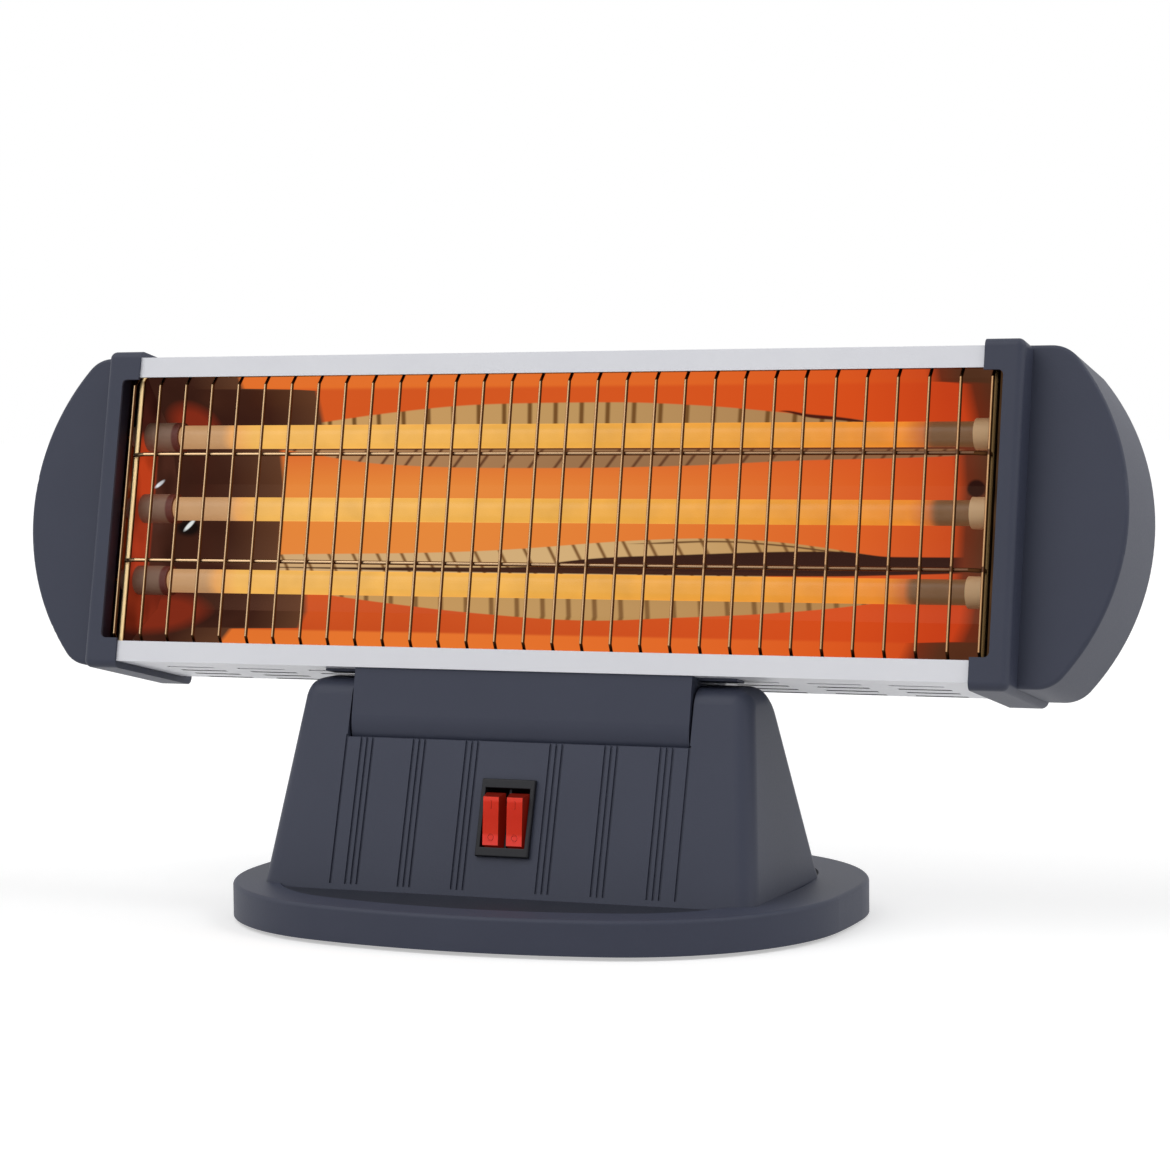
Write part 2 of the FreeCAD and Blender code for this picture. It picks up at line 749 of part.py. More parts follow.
def make_gland():
    """Rubber grommet low in the back wall, where a supply cord would enter."""
    wall = "(Size.pedestal_wall * cos(Size.back_slope * 1deg) + Size.running_gap)"
    collar, flange = f"({gland_sleeve} + Size.gland_wall)", "Size.gland_flange"
    outside = rod("gland_outside", collar, flange, "0", "0", "0", "y")
    sleeve = rod("gland_sleeve", gland_sleeve, wall, "0", "0", "0", "-y")
    inside = rod("gland_inside", collar, flange, "0", f"-{wall}", "0", "-y")
    solid = joined("gland_solid", joined("gland_spool", outside, sleeve), inside)
    bore = rod("gland_bore", "Size.gland_bore / 2", f"{wall} + 2 * {flange}", "0", flange, "0", "-y")
    gland = cut("cord_gland", solid, bore)
    lean_back(gland, "-Size.back_slope", back_at("Size.gland_rise"), f"{base_top} + Size.gland_rise")
    nodes["cord_gland"] = gland


def make_switch(body):
    """Twin rocker switch: bezel, body behind the panel, and a divider between the rockers."""
    on_panel(body)
    bezel = sketch_on(body, "bezel", "XZ_Plane")
    rectangle(bezel, "-Size.bezel_length / 2", "-Size.bezel_height / 2",
              "Size.bezel_length / 2", "Size.bezel_height / 2")
    pad(body, bezel, "Size.bezel_proud")
    proud = -number("Size.bezel_proud")
    round_edges(body, "bezel_edge", "Size.bezel_proud / 3", lambda edge: flat_at(edge, "y", proud))
    shell = sketch_on(body, "shell", "XZ_Plane")
    rectangle(shell, "-Size.switch_length / 2", "-Size.switch_height / 2",
              "Size.switch_length / 2", "Size.switch_height / 2")
    pad(body, shell, "Size.switch_depth", reverse=True)
    half_z = "Size.switch_opening_height / 2"
    mouth = sketch_on(body, "mouth", "XZ_Plane", "Size.bezel_proud")
    half_x = "Size.switch_opening_length / 2"
    rectangle(mouth, f"-{half_x}", f"-{half_z}", half_x, half_z)
    pocket(body, mouth, "Size.bezel_proud + Size.margin")
    room = sketch_on(body, "room", "XZ_Plane", "Size.bezel_proud")
    rectangle(room, "Size.divider_thickness / 2", f"-{half_z}", half_x, half_z)
    mirror(body, pocket(body, room, "Size.bezel_proud + Size.switch_opening_depth"))
    axle = sketch_on(body, "axle", "YZ_Plane", "-Size.switch_length / 2 - Size.margin")
    ring(axle, "Size.rocker_axis_depth", "0", "(Size.rocker_axle_diameter / 2 + Size.running_gap)")
    pocket(body, axle, "Size.switch_length + 2 * Size.margin", reverse=True)


def make_rocker(body, side):
    """Red rocker, tapered to its face, on an axle that sits in the switch body."""
    lean_back(body, "Size.front_slope - Size.rocker_lean",
              f"{panel_y} + Size.rocker_axis_depth * cos(Size.front_slope * 1deg)",
              f"{panel_z} - Size.rocker_axis_depth * sin(Size.front_slope * 1deg)")
    inner = "(Size.divider_thickness / 2 + Size.rocker_side_gap)"
    outer = "(Size.switch_opening_length / 2 - Size.rocker_side_gap)"
    middle = f"({inner} + {outer}) / 2"
    face_y = "(Size.rocker_axis_depth + Size.bezel_proud + Size.rocker_proud)"
    base_y = "(Size.rocker_axis_depth - Size.margin)"
    ends = {-1: (f"-{outer}", f"-{inner}"), 1: (inner, outer)}[side]
    foot = sketch_on(body, "foot", "XZ_Plane", base_y)
    half_z = "Size.rocker_base_length / 2"
    rectangle(foot, ends[0], f"-{half_z}", ends[1], half_z)
    face = sketch_on(body, "face", "XZ_Plane", face_y)
    half_x, half_z = "Size.rocker_face_width / 2", "Size.rocker_face_length / 2"
    rectangle(face, f"{side} * {middle} - {half_x}", f"-{half_z}", f"{side} * {middle} + {half_x}", half_z)
    taper = feature(body, "AdditiveLoft", f"{body.Name}_taper")
    taper.Profile = foot
    taper.Sections = [face]
    taper.Ruled = True
    document.recompute()
    hub = sketch_on(body, "hub", "XZ_Plane", base_y)
    rectangle(hub, ends[0], "-Size.rocker_base_length / 4", ends[1], "Size.rocker_base_length / 4")
    pad(body, hub, f"{base_y} + Size.rocker_axle_diameter / 2 + Size.rocker_side_gap", reverse=True)
    start = {-1: "-Size.switch_length / 2 + Size.rocker_side_gap", 1: "Size.rocker_side_gap"}[side]
    axle = sketch_on(body, "axle", "YZ_Plane", start)
    ring(axle, "0", "0", "Size.rocker_axle_diameter / 2")
    pad(body, axle, "Size.switch_length / 2 - 2 * Size.rocker_side_gap")


def make_switch_blades():
    blades = []
    for sx in (-1, 1):
        for sz in (-1, 1):
            x = f"{sx} * Size.switch_opening_length / 4 - Size.blade_width / 2"
            z = f"{sz} * Size.switch_height / 4 - Size.blade_thickness / 2"
            size = ("Size.blade_width", "Size.blade_length", "Size.blade_thickness")
            blades.append(block(f"switch_blade_{len(blades) + 1}", size, x, "Size.switch_depth", z))
    on_panel(group("switch_blades", blades))


def make_tip_switch():
    """Tip-over switch: a sprung pin that the floor holds up while the heater stands."""
    x, y = "Size.tip_x", "Size.tip_y"
    half = "Size.tip_case_length / 2"
    chamber = "(Size.tip_chamber_diameter / 2)"
    pin = "(Size.tip_pin_diameter / 2)"
    size = ("Size.tip_case_length", "Size.tip_case_length", "Size.tip_case_height")
    case = block("tip_case_block", size, f"{x} - {half}", f"{y} - {half}", well_floor)
    room = rod("tip_case_room", chamber, "Size.tip_case_height - 2 * Size.base_wall", x, y,
               f"{well_floor} + Size.base_wall")
    hole = rod("tip_case_hole", f"{pin} + Size.running_gap", "2 * Size.base_wall", x, y, well_floor)
    shell = cut("tip_switch_case", case, joined("tip_case_void", room, hole))
    nodes["tip_switch_case"] = shell
    flange_z = f"({well_floor} + Size.tip_flange_rise)"
    stem = rod("tip_pin_stem", pin, f"{flange_z} - Size.tip_pin_lift", x, y, "Size.tip_pin_lift")
    disc = rod("tip_pin_disc", f"{chamber} - Size.seat_gap", "Size.base_wall", x, y, flange_z)
    nodes["tip_pin"] = joined("tip_pin", stem, disc)
    spring_z = f"({flange_z} + Size.base_wall)"
    height = f"{well_floor} + Size.tip_case_height - Size.base_wall - {spring_z}"
    outer = rod("tip_spring_outside", f"{chamber} - 2 * Size.seat_gap", height, x, y, spring_z)
    inner = rod("tip_spring_inside", f"{chamber} - 2 * Size.seat_gap - Size.tip_spring_wire", height, x, y,
                spring_z)
    nodes["tip_spring"] = cut("tip_spring", outer, inner)


def make_pivot():
    """Bolts, nuts and washers that clamp the neck between the ears."""
    bolts, nuts, washers = [], [], []
    for name, side in SIDES.items():
        out = {-1: "-x", 1: "x"}[side]
        seat = f"{side} * (Size.notch_length / 2 + Size.pedestal_wall)"
        inside = f"{side} * (Size.neck_length / 2 - Size.neck_wall - Size.seat_gap - Size.nut_height)"
        shank_length = ("Size.notch_length / 2 + Size.pedestal_wall - Size.neck_length / 2"
                        " + Size.neck_wall + Size.seat_gap + Size.nut_height")
        shank = rod(f"bolt_shank_{name}", bolt_radius, shank_length, inside, pivot_y, pivot_z, out)
        head = rod(f"bolt_head_{name}", "Size.bolt_head_diameter / 2", "Size.bolt_head_height",
                   seat, pivot_y, pivot_z, out)
        bolts.append(joined(f"bolt_{name}", shank, head))
        hexagon = document.addObject("Part::Prism", f"nut_block_{name}")
        hexagon.Polygon = 6
        hexagon.setExpression("Circumradius", "Size.nut_width / 2 / cos(30deg)")
        hexagon.setExpression("Height", "Size.nut_height")
        set_base(hexagon, inside, pivot_y, pivot_z, out)
        bore = rod(f"nut_bore_{name}", bolt_hole, "Size.nut_height", inside, pivot_y, pivot_z, out)
        nuts.append(cut(f"nut_{name}", hexagon, bore))
        near = f"{side} * (Size.neck_length / 2 + Size.running_gap)"
        thick = "(Size.notch_length - Size.neck_length) / 2 - 2 * Size.running_gap"
        disc = rod(f"washer_disc_{name}", "Size.washer_diameter / 2", thick, near, pivot_y, pivot_z, out)
        eye = rod(f"washer_eye_{name}", bolt_hole, thick, near, pivot_y, pivot_z, out)
        washers.append(cut(f"washer_{name}", disc, eye))
    group("pivot_bolts", bolts)
    group("pivot_nuts", nuts)
    group("friction_washers", washers)


def make_neck(body):
    """Hollow barrel between the ears, with a thin flange that is screwed to the housing."""
    in_head(body)

    def barrel(name, radius, end):
        sketch = sketch_on(body, name, "YZ_Plane", f"-({end})")
        loop(sketch, [
            (f"-{radius}", under_z),
            (f"-{radius}", "0", radius),
            ("0", f"-{radius}", radius),
            (radius, "0"),
            (radius, under_z),
        ])
        return sketch

    pad(body, barrel("barrel", "Size.neck_radius", "Size.neck_length / 2"), "Size.neck_length")
    inside = barrel("inside", "(Size.neck_radius - Size.neck_wall)", "Size.neck_length / 2 - Size.neck_wall")
    pocket(body, inside, "Size.neck_length - 2 * Size.neck_wall", reverse=True)
    low = f"({under_z} - Size.flange_thickness)"
    flange = sketch_on(body, "flange", "XY_Plane", low)
    wing_x, neck_x = "Size.flange_length / 2", "Size.neck_length / 2"
    wing_y = f"({front_y} + Size.flange_setback)"
    loop(flange, [
        (f"-{wing_x}", wing_y), (wing_x, wing_y),
        (wing_x, f"{wing_y} + Size.wing_depth"), (neck_x, f"{wing_y} + Size.wing_depth"),
        (neck_x, "Size.neck_radius"), (f"-{neck_x}", "Size.neck_radius"),
        (f"-{neck_x}", f"{wing_y} + Size.wing_depth"), (f"-{wing_x}", f"{wing_y} + Size.wing_depth"),
    ])
    pad(body, flange, "Size.flange_thickness")
    bosses = sketch_on(body, "bosses", "XY_Plane", f"{under_z} - Size.screw_length")
    for x, y in neck_screw_spots:
        ring(bosses, x, y, boss_radius)
    pad(body, bosses, "Size.screw_length")
    pilots = sketch_on(body, "pilots", "XY_Plane", under_z)
    for x, y in neck_screw_spots:
        ring(pilots, x, y, pilot_radius)
    ring(pilots, "0", "0", boss_radius)
    pocket(body, pilots, "Size.screw_length - Size.seat_gap")
    bolts = sketch_on(body, "bolt_holes", "YZ_Plane", "-Size.neck_length / 2 - Size.margin")
    ring(bolts, "0", "0", bolt_hole)
    pocket(body, bolts, "Size.neck_length + 2 * Size.margin", reverse=True)


def make_housing(body):
    """Folded sheet channel: top, back and underside, with lips that frame the front."""
    in_head(body)
    far_y = f"({front_y} + Size.housing_depth)"
    tube = sketch_on(body, "section", "YZ_Plane", f"-{housing_end}")
    rectangle(tube, front_y, under_z, far_y, head_top_z)
    rectangle(tube, f"{front_y} + Size.sheet_thickness", f"{under_z} + Size.sheet_thickness",
              f"{far_y} - Size.sheet_thickness", f"{head_top_z} - Size.sheet_thickness")
    pad(body, tube, "Size.housing_length")
    outside = number(far_y)
    inside = number(f"{far_y} - Size.sheet_thickness")

    def lengthwise(edge, place):
        return is_line(edge) and abs(direction(edge).x) > 0.9 and flat_at(edge, "y", place)

    round_edges(body, "outer_folds", "Size.fold_radius", lambda edge: lengthwise(edge, outside))
    round_edges(body, "inner_folds", "Size.fold_radius - Size.sheet_thickness",
                lambda edge: lengthwise(edge, inside))
    mouth = sketch_on(body, "mouth", "XZ_Plane", "Size.head_front + Size.margin")
    rectangle(mouth, f"-{housing_end} - Size.margin", f"{under_z} + Size.lip_height",
              f"{housing_end} + Size.margin", f"{head_top_z} - Size.lip_height")
    pocket(body, mouth, "Size.sheet_thickness + 2 * Size.margin")
    vents = sketch_on(body, "vents", "XY_Plane", f"{head_top_z} + Size.margin")
    for column in range(3):
        for line in range(4):
            x = f"(Size.slot_group_first + {column} * Size.slot_group_pitch)"
            y = f"({front_y} + Size.slot_first + {line} * Size.slot_pitch)"
            rectangle(vents, f"{x} - Size.slot_length / 2", f"{y} - Size.slot_width / 2",
                      f"{x} + Size.slot_length / 2", f"{y} + Size.slot_width / 2")
    mirror(body, pocket(body, vents, "Size.housing_height + 2 * Size.margin"))
    holes = sketch_on(body, "holes", "XY_Plane", f"{under_z} + Size.sheet_thickness + Size.margin")
    for x, y in neck_screw_spots:
        ring(holes, x, y, screw_hole)
    ring(holes, "0", "0", boss_radius)
    pocket(body, holes, "Size.sheet_thickness + 2 * Size.margin")
    back_holes = sketch_on(body, "back_holes", "XZ_Plane", f"-{far_y} + Size.sheet_thickness + Size.margin")
    for x, z in cap_screw_spots:
        ring(back_holes, x, z, screw_hole)
    pocket(body, back_holes, "Size.sheet_thickness + 2 * Size.margin")


cap_screw_spots = [
    (f"{sx} * ({cap_start} + {housing_end}) / 2", f"{middle_z} + {sz} * Size.housing_height / 3")
    for sx in (-1, 1) for sz in (-1, 1)
]


def make_neck_screws():
    top = f"({under_z} + Size.sheet_thickness)"
    pieces = [screw(f"neck_screw_{i}", x, y, top, "-z") for i, (x, y) in enumerate(neck_screw_spots, 1)]
    in_head(group("neck_screws", pieces))


def make_cap_screws():
    seat = f"({front_y} + Size.collar_depth)"
    pieces = [screw(f"cap_screw_{i}", x, seat, z, "-y") for i, (x, z) in enumerate(cap_screw_spots, 1)]
    in_head(group("cap_screws", pieces))


def make_end_cap(body, side):
    """Moulded cap: a square collar over the housing end and a D-shaped cheek set back from it."""
    in_head(body)
    half_height = "(Size.housing_height / 2 + Size.collar_proud)"
    near_y = f"({front_y} - Size.collar_front)"
    far_y = f"({front_y} + Size.collar_depth)"
    start = {-1: f"-{collar_end}", 1: cap_start}[side]
    collar = sketch_on(body, "collar", "YZ_Plane", start)
    rectangle(collar, near_y, f"{middle_z} - {half_height}", far_y, f"{middle_z} + {half_height}")
    pad(body, collar, "Size.collar_length")
    round_edges(body, "collar_edges", "Size.collar_edge_radius",
                lambda edge: is_line(edge) and abs(direction(edge).x) > 0.9)
    edge_x = number(collar_end)
    round_edges(body, "collar_end", "Size.collar_end_radius",
                lambda edge: abs(abs(edge.CenterOfMass.x) - edge_x) < 1e-4)

    def cheek(name, inset, depth, root):
        sketch = sketch_on(body, name, "XZ_Plane", f"-({depth})")
        half = f"(Size.cap_height / 2 - {inset})"
        arc, corner = f"(Size.cap_arc_radius - {inset})", f"(Size.cap_corner_radius - {inset})"
        centre = "(Size.cap_reach - Size.cap_arc_radius)"
        run = f"sqrt(({arc} - {corner})^2 - ({half} - {corner})^2)"
        scale = f"{arc} / ({arc} - {corner})"
        flat_x, round_x = f"({centre} + {run})", f"({centre} + {run} * {scale})"
        round_z = f"(({half} - {corner}) * {scale})"
        level = f"({middle_z} + Size.cap_raise)"
        rise = [f"{level} - {half}", f"{level} - {round_z}", level,
                f"{level} + {round_z}", f"{level} + {half}"]
        outline = [
            (root, rise[0]),
            (flat_x, rise[0], corner),
            (round_x, rise[1], arc),
            ("Size.cap_reach - " + inset, rise[2], arc),
            (round_x, rise[3], corner),
            (flat_x, rise[4]),
            (root, rise[4]),
        ]
        if side < 0:
            outline = [(f"-({corner[0]})", *corner[1:]) for corner in outline]
            bends = [corner[2:] for corner in outline]
            outline = [(*corner[:2], *(f"-{bend}" for bend in bends[i]))
                       for i, corner in enumerate(outline)]
        loop(sketch, outline)
        return sketch

    face_y = f"({front_y} + Size.cap_setback)"
    root = f"{collar_end} - Size.collar_end_radius"
    pad(body, cheek("cheek", "0", face_y, root), "Size.cap_depth", reverse=True)
    front, back = number(face_y), number(f"{face_y} + Size.cap_depth")

    def rim(edge):
        ends = flat_at(edge, "y", front) or flat_at(edge, "y", back)
        return ends and abs(edge.CenterOfMass.x) > edge_x + 1e-4

    round_edges(body, "cheek_edges", "Size.cap_edge_radius", rim)

    wall = "Size.cap_wall"
    room_y = f"({face_y} + {wall})"
    inner = f"({collar_end} - {wall} - Size.margin)"
    pocket(body, cheek("room", "Size.cap_wall", room_y, inner), f"Size.cap_depth - 2 * {wall}")
    gap = "Size.running_gap"
    seat = sketch_on(body, "seat", "YZ_Plane", f"{side} * ({cap_start} - Size.margin)")
    rectangle(seat, f"{front_y} - {gap}", f"{under_z} - {gap}",
              f"{front_y} + Size.housing_depth + {gap}", f"{head_top_z} + {gap}")
    pocket(body, seat, "Size.cap_overlap + Size.margin + Size.seat_gap", reverse=side > 0)
    room = sketch_on(body, "collar_room", "YZ_Plane", f"{side} * ({cap_start} - Size.margin)")
    rectangle(room, f"{front_y} + {wall}", f"{under_z} + {wall}",
              f"{front_y} + Size.housing_depth - {wall}", f"{head_top_z} - {wall}")
    pocket(body, room, f"Size.collar_length + Size.margin - {wall}", reverse=side > 0)
    window = sketch_on(body, "window", "XZ_Plane", f"-({near_y}) + Size.margin")
    rectangle(window, f"{side} * ({cap_start} - Size.margin)", f"{middle_z} - Size.window_height / 2",
              f"{side} * Size.window_edge", f"{middle_z} + Size.window_height / 2")
    pocket(body, window, "Size.collar_front + 2 * Size.margin")
    corner_x = number("Size.window_edge")
    round_edges(body, "window_corners", "Size.window_corner_radius", lambda edge: is_line(edge)
                and abs(direction(edge).y) > 0.9 and abs(abs(edge.CenterOfMass.x) - corner_x) < 1e-4)
    holes = sketch_on(body, "screw_holes", "XZ_Plane", f"-({far_y}) - Size.margin")
    for x, z in cap_screw_spots:
        if x.startswith(str(side)):
            ring(holes, x, z, screw_hole)
    pocket(body, holes, "Size.collar_depth - Size.housing_depth + 2 * Size.margin", reverse=True)


def make_reflector(body):
    """Polished trough behind the tubes, bent in flat facets."""
    in_head(body)
    lip_z = "(Size.housing_height / 2 - Size.sheet_thickness - Size.seat_gap)"
    facets = [
        ("Size.reflector_front", lip_z),
        ("(Size.reflector_front + Size.reflector_lip)", f"({lip_z} - Size.reflector_lip)"),
        ("Size.reflector_bend_setback", "Size.reflector_bend_height / 2"),
        ("Size.reflector_back_setback", "Size.reflector_back_height / 2"),
    ]
    inner = [(y, f"{middle_z} + {z}") for y, z in facets]
    inner += [(y, f"{middle_z} - {z}") for y, z in reversed(facets)]
    outline = [(f"{front_y} + {y}", z) for y, z in inner]
    outline += [(f"{front_y} + {y} + Size.reflector_thickness", z) for y, z in reversed(inner)]
    half = "(Size.bracket_position - Size.seat_gap)"
    section = sketch_on(body, "section", "YZ_Plane", f"-{half}")
    loop(section, outline)
    pad(body, section, f"2 * {half}")


tube_y = f"({front_y} + Size.tube_setback)"
wire_y = f"({front_y} + Size.sheet_thickness + 2 * Size.running_gap + Size.wire_diameter / 2)"
ceramic_end = "(Size.bracket_position + Size.bracket_thickness + Size.ceramic_tail)"
tube_heights = {
    "upper": f"({middle_z} + Size.tube_raise + Size.tube_spacing)",
    "middle": f"({middle_z} + Size.tube_raise)",
    "lower": f"({middle_z} + Size.tube_raise - Size.tube_spacing)",
}


def make_tube(body, height):
    in_head(body, tube_y, height)
    section = sketch_on(body, "section", "YZ_Plane", "Size.tube_shift - Size.tube_length / 2")
    ring(section, "0", "0", "Size.tube_diameter / 2")
    ring(section, "0", "0", "Size.tube_diameter / 2 - Size.tube_wall")
    pad(body, section, "Size.tube_length")


def make_coil(body, height):
    """Outer form of the wound wire, on the leads that run out through the ceramics."""
    in_head(body, tube_y, height)
    left, right = (f"(Size.tube_shift {sign} Size.coil_length / 2)" for sign in "-+")
    lead = "Size.lead_length / 2"
    section = sketch_on(body, "half_section", "XY_Plane")
    thin, thick = "Size.lead_diameter / 2", "Size.coil_diameter / 2"
    loop(section, [
        (f"-{lead}", "0"), (lead, "0"), (lead, thin), (right, thin), (right, thick),
        (left, thick), (left, thin), (f"-{lead}", thin),
    ])
    revolve(body, section)


def make_ceramic(body, height, side):
    """Ceramic end: a socket for the tube, a bore for the lead and a neck for the bracket."""
    in_head(body, tube_y, height)
    tube_end = f"(Size.tube_length / 2 + {side} * Size.tube_shift)"
    tip = f"({tube_end} - Size.ceramic_socket)"
    step = "(Size.bracket_position - Size.running_gap)"
    floor = f"({tube_end} + Size.running_gap)"
    outer, neck = "Size.ceramic_diameter / 2", "Size.ceramic_neck / 2"
    socket = "(Size.tube_diameter / 2 + Size.running_gap)"
    bore = "(Size.lead_diameter / 2 + Size.running_gap)"
    section = sketch_on(body, "half_section", "XY_Plane")
    outline = [(tip, socket), (floor, socket), (floor, bore), (ceramic_end, bore), (ceramic_end, neck),
               (step, neck), (step, outer), (tip, outer)]
    loop(section, [(f"{side} * {x}", y) for x, y in outline])
    revolve(body, section)


def make_bracket(body, side):
    """Sheet plate across the end of the trough, with folded tabs against the housing."""
    in_head(body)
    near = f"({front_y} + Size.frame_setback + Size.frame_diameter / 2 + Size.seat_gap)"
    far = f"({near} + Size.bracket_depth)"
    low = f"({under_z} + Size.sheet_thickness + Size.seat_gap)"
    high = f"({head_top_z} - Size.sheet_thickness - Size.seat_gap)"
    outer = {-1: "(-Size.bracket_position - Size.bracket_thickness)", 1: "Size.bracket_position"}[side]
    plate = sketch_on(body, "plate", "YZ_Plane", outer)
    rectangle(plate, near, low, far, high)
    for height in tube_heights.values():
        ring(plate, tube_y, height, "(Size.ceramic_neck / 2 + Size.running_gap)")
    pad(body, plate, "Size.bracket_thickness")
    tab_start = {-1: "(-Size.bracket_position - Size.bracket_tab)", 1: "Size.bracket_position"}[side]
    tabs = sketch_on(body, "tabs", "YZ_Plane", tab_start)
    inset = "Size.bracket_depth / 6"
    rectangle(tabs, f"{near} + {inset}", low, f"{far} - {inset}", f"{low} + Size.bracket_thickness")
    rectangle(tabs, f"{near} + {inset}", f"{high} - Size.bracket_thickness", f"{far} - {inset}", high)
    pad(body, tabs, "Size.bracket_tab")


def make_common_strip(body):
    """Brass strip that joins the left leads."""
    in_head(body)
    end = f"({ceramic_end} + Size.seat_gap)"
    half = "Size.strip_width / 2"
    section = sketch_on(body, "plate", "YZ_Plane", f"-{end} - Size.strip_thickness")
    rectangle(section, f"{tube_y} - {half}", f"{tube_heights['lower']} - {half}",
              f"{tube_y} + {half}", f"{tube_heights['upper']} + {half}")
    for height in tube_heights.values():
        ring(section, tube_y, height, "(Size.lead_diameter / 2 + Size.running_gap)")
    pad(body, section, "Size.strip_thickness")


def make_lead_tabs():
    """Brass tags on the right leads, one for each switched circuit."""
    tags = []
    start = f"({ceramic_end} + Size.seat_gap)"
    half = "Size.strip_width / 2"
    for name, height in tube_heights.items():
        size = ("Size.strip_thickness", "2 * Size.strip_width", "Size.strip_width")
        plate = block(f"tag_plate_{name}", size, start, f"{tube_y} - {half}", f"{height} - {half}")
        eye = rod(f"tag_eye_{name}", "Size.lead_diameter / 2 + Size.running_gap", "Size.strip_thickness",
                  start, tube_y, height, "x")
        tags.append(cut(f"tag_{name}", plate, eye))
    in_head(group("lead_tags", tags))


def make_grille(body, rods):
    """Guard: upright wires with cranked ends, on two cross bars and a rod frame behind the lips."""
    in_head(body)
    in_head(rods)
    wire, bar, frame = (f"Size.{name}_diameter / 2" for name in ("wire", "bar", "frame"))
    half_x, half_z = "(Size.wire_pitch * (Size.wire_count - 1) / 2)", "(Size.frame_height / 2)"
    low, high = f"({middle_z} - {half_z})", f"({middle_z} + {half_z})"
    frame_y = f"({front_y} + Size.frame_setback)"

    def swept(body, name, path, edges, plane, offset, x, y, radius):
        section = sketch_on(body, f"{name}_section", plane, offset)
        ring(section, x, y, radius)
        document.recompute()
        made = feature(body, "AdditivePipe", f"grille_{name}")
        made.Profile = section
        made.Spine = (path, [f"Edge{i + 1}" for i in range(edges)])
        made.Transition = "Transformed"
        document.recompute()
        return made

    def cranked(name, plane, offset, points):
        path = sketch_on(body, f"{name}_path", plane, offset)
        for i, (start, end) in enumerate(zip(points, points[1:])):
            a, b = (Vector(number(p[0]), number(p[1]), 0) for p in (start, end))
            path.addGeometry(Part.LineSegment(a, b))
            bind(path, "DistanceX", (-1, 1, i, 1), start[0])
            bind(path, "DistanceY", (-1, 1, i, 1), start[1])
            if i:
                path.addConstraint(Sketcher.Constraint("Coincident", i - 1, 2, i, 1))
        bind(path, "DistanceX", (-1, 1, 2, 2), points[3][0])
        bind(path, "DistanceY", (-1, 1, 2, 2), points[3][1])
        return path

    bend = "Size.frame_bend"
    loop_path = sketch_on(rods, "frame_path", "XZ_Plane", f"-{frame_y}")
    loop(loop_path, [
        (f"-{half_x}", middle_z),
        (f"-{half_x}", f"{high} - {bend}", f"-{bend}"), (f"{bend} - {half_x}", high),
        (f"{half_x} - {bend}", high, f"-{bend}"), (half_x, f"{high} - {bend}"),
        (half_x, f"{low} + {bend}", f"-{bend}"), (f"{half_x} - {bend}", low),
        (f"{bend} - {half_x}", low, f"-{bend}"), (f"-{half_x}", f"{low} + {bend}"),
    ])
    swept(rods, "rods", loop_path, 9, "XY_Plane", middle_z, f"-{half_x}", frame_y, frame)

    bar_y = f"({wire_y} + {wire} + {bar} + Size.running_gap)"
    bar_back = f"({frame_y} - {frame} - {bar} - Size.running_gap)"
    for name, sign in (("lower", "-"), ("upper", "+")):
        height = f"({middle_z} + Size.bar_raise {sign} Size.bar_spacing / 2)"
        path = cranked(f"{name}_bar", "XY_Plane", height, [
            (f"-{half_x}", bar_back), (f"Size.bar_leg - {half_x}", bar_y),
            (f"{half_x} - Size.bar_leg", bar_y), (half_x, bar_back),
        ])
        swept(body, f"{name}_bar", path, 3, "YZ_Plane", f"-{half_x}", bar_back, height, bar)

    back_y = f"({frame_y} - {frame} - {wire} - Size.running_gap)"
    path = cranked("wire", "YZ_Plane", f"-{half_x}", [
        (back_y, low), (wire_y, f"{middle_z} - Size.wire_straight / 2"),
        (wire_y, f"{middle_z} + Size.wire_straight / 2"), (back_y, high),
    ])
    pipe = swept(body, "wire", path, 3, "XY_Plane", low, f"-{half_x}", back_y, wire)
    rows = feature(body, "LinearPattern", "grille_wires")
    rows.Originals = [pipe]
    rows.Direction = (next(f for f in body.Origin.OriginFeatures if f.Role == "X_Axis"), [""])
    rows.setExpression("Length", f"2 * {half_x}")
    rows.setExpression("Occurrences", "Size.wire_count")
    document.recompute()


make_base_plate(new_body("base_plate"))
make_bottom_plate(new_body("bottom_plate"))
make_feet()
make_stand_screws()
make_pedestal(new_body("pedestal"))
make_gland()
make_switch(new_body("switch_housing"))
make_switch_blades()
for name, side in SIDES.items():
    make_rocker(new_body(f"rocker_{name}"), side)
make_tip_switch()
make_pivot()
make_neck(new_body("neck"))
make_neck_screws()
make_housing(new_body("housing"))
make_reflector(new_body("reflector"))
for place, height in tube_heights.items():
    make_tube(new_body(f"quartz_tube_{place}"), height)
    make_coil(new_body(f"heating_coil_{place}"), height)
    for name, side in SIDES.items():
        make_ceramic(new_body(f"ceramic_{place}_{name}"), height, side)
for name, side in SIDES.items():
    make_bracket(new_body(f"tube_bracket_{name}"), side)
    make_end_cap(new_body(f"end_cap_{name}"), side)
make_common_strip(new_body("common_strip"))
make_lead_tabs()
make_cap_screws()
make_grille(new_body("grille"), new_body("grille_frame"))
document.recompute()

faults = [item.Name for item in document.Objects if {"Invalid", "Error"} & set(item.State)]
for label, item in nodes.items():
    shape = item.Shape
    if shape.isNull() or not shape.isValid() or not shape.Solids:
        faults.append(label)
if faults:
    raise RuntimeError(f"failed pieces: {faults}")

os.makedirs("parts", exist_ok=True)
for label, item in nodes.items():
    item.Shape.exportStep(f"parts/{label}.step")
    print(label, len(item.Shape.Solids), "solids", round(item.Shape.Volume), "mm3")
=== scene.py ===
import json
import math

import bmesh
import bpy
from mathutils import Matrix, Vector


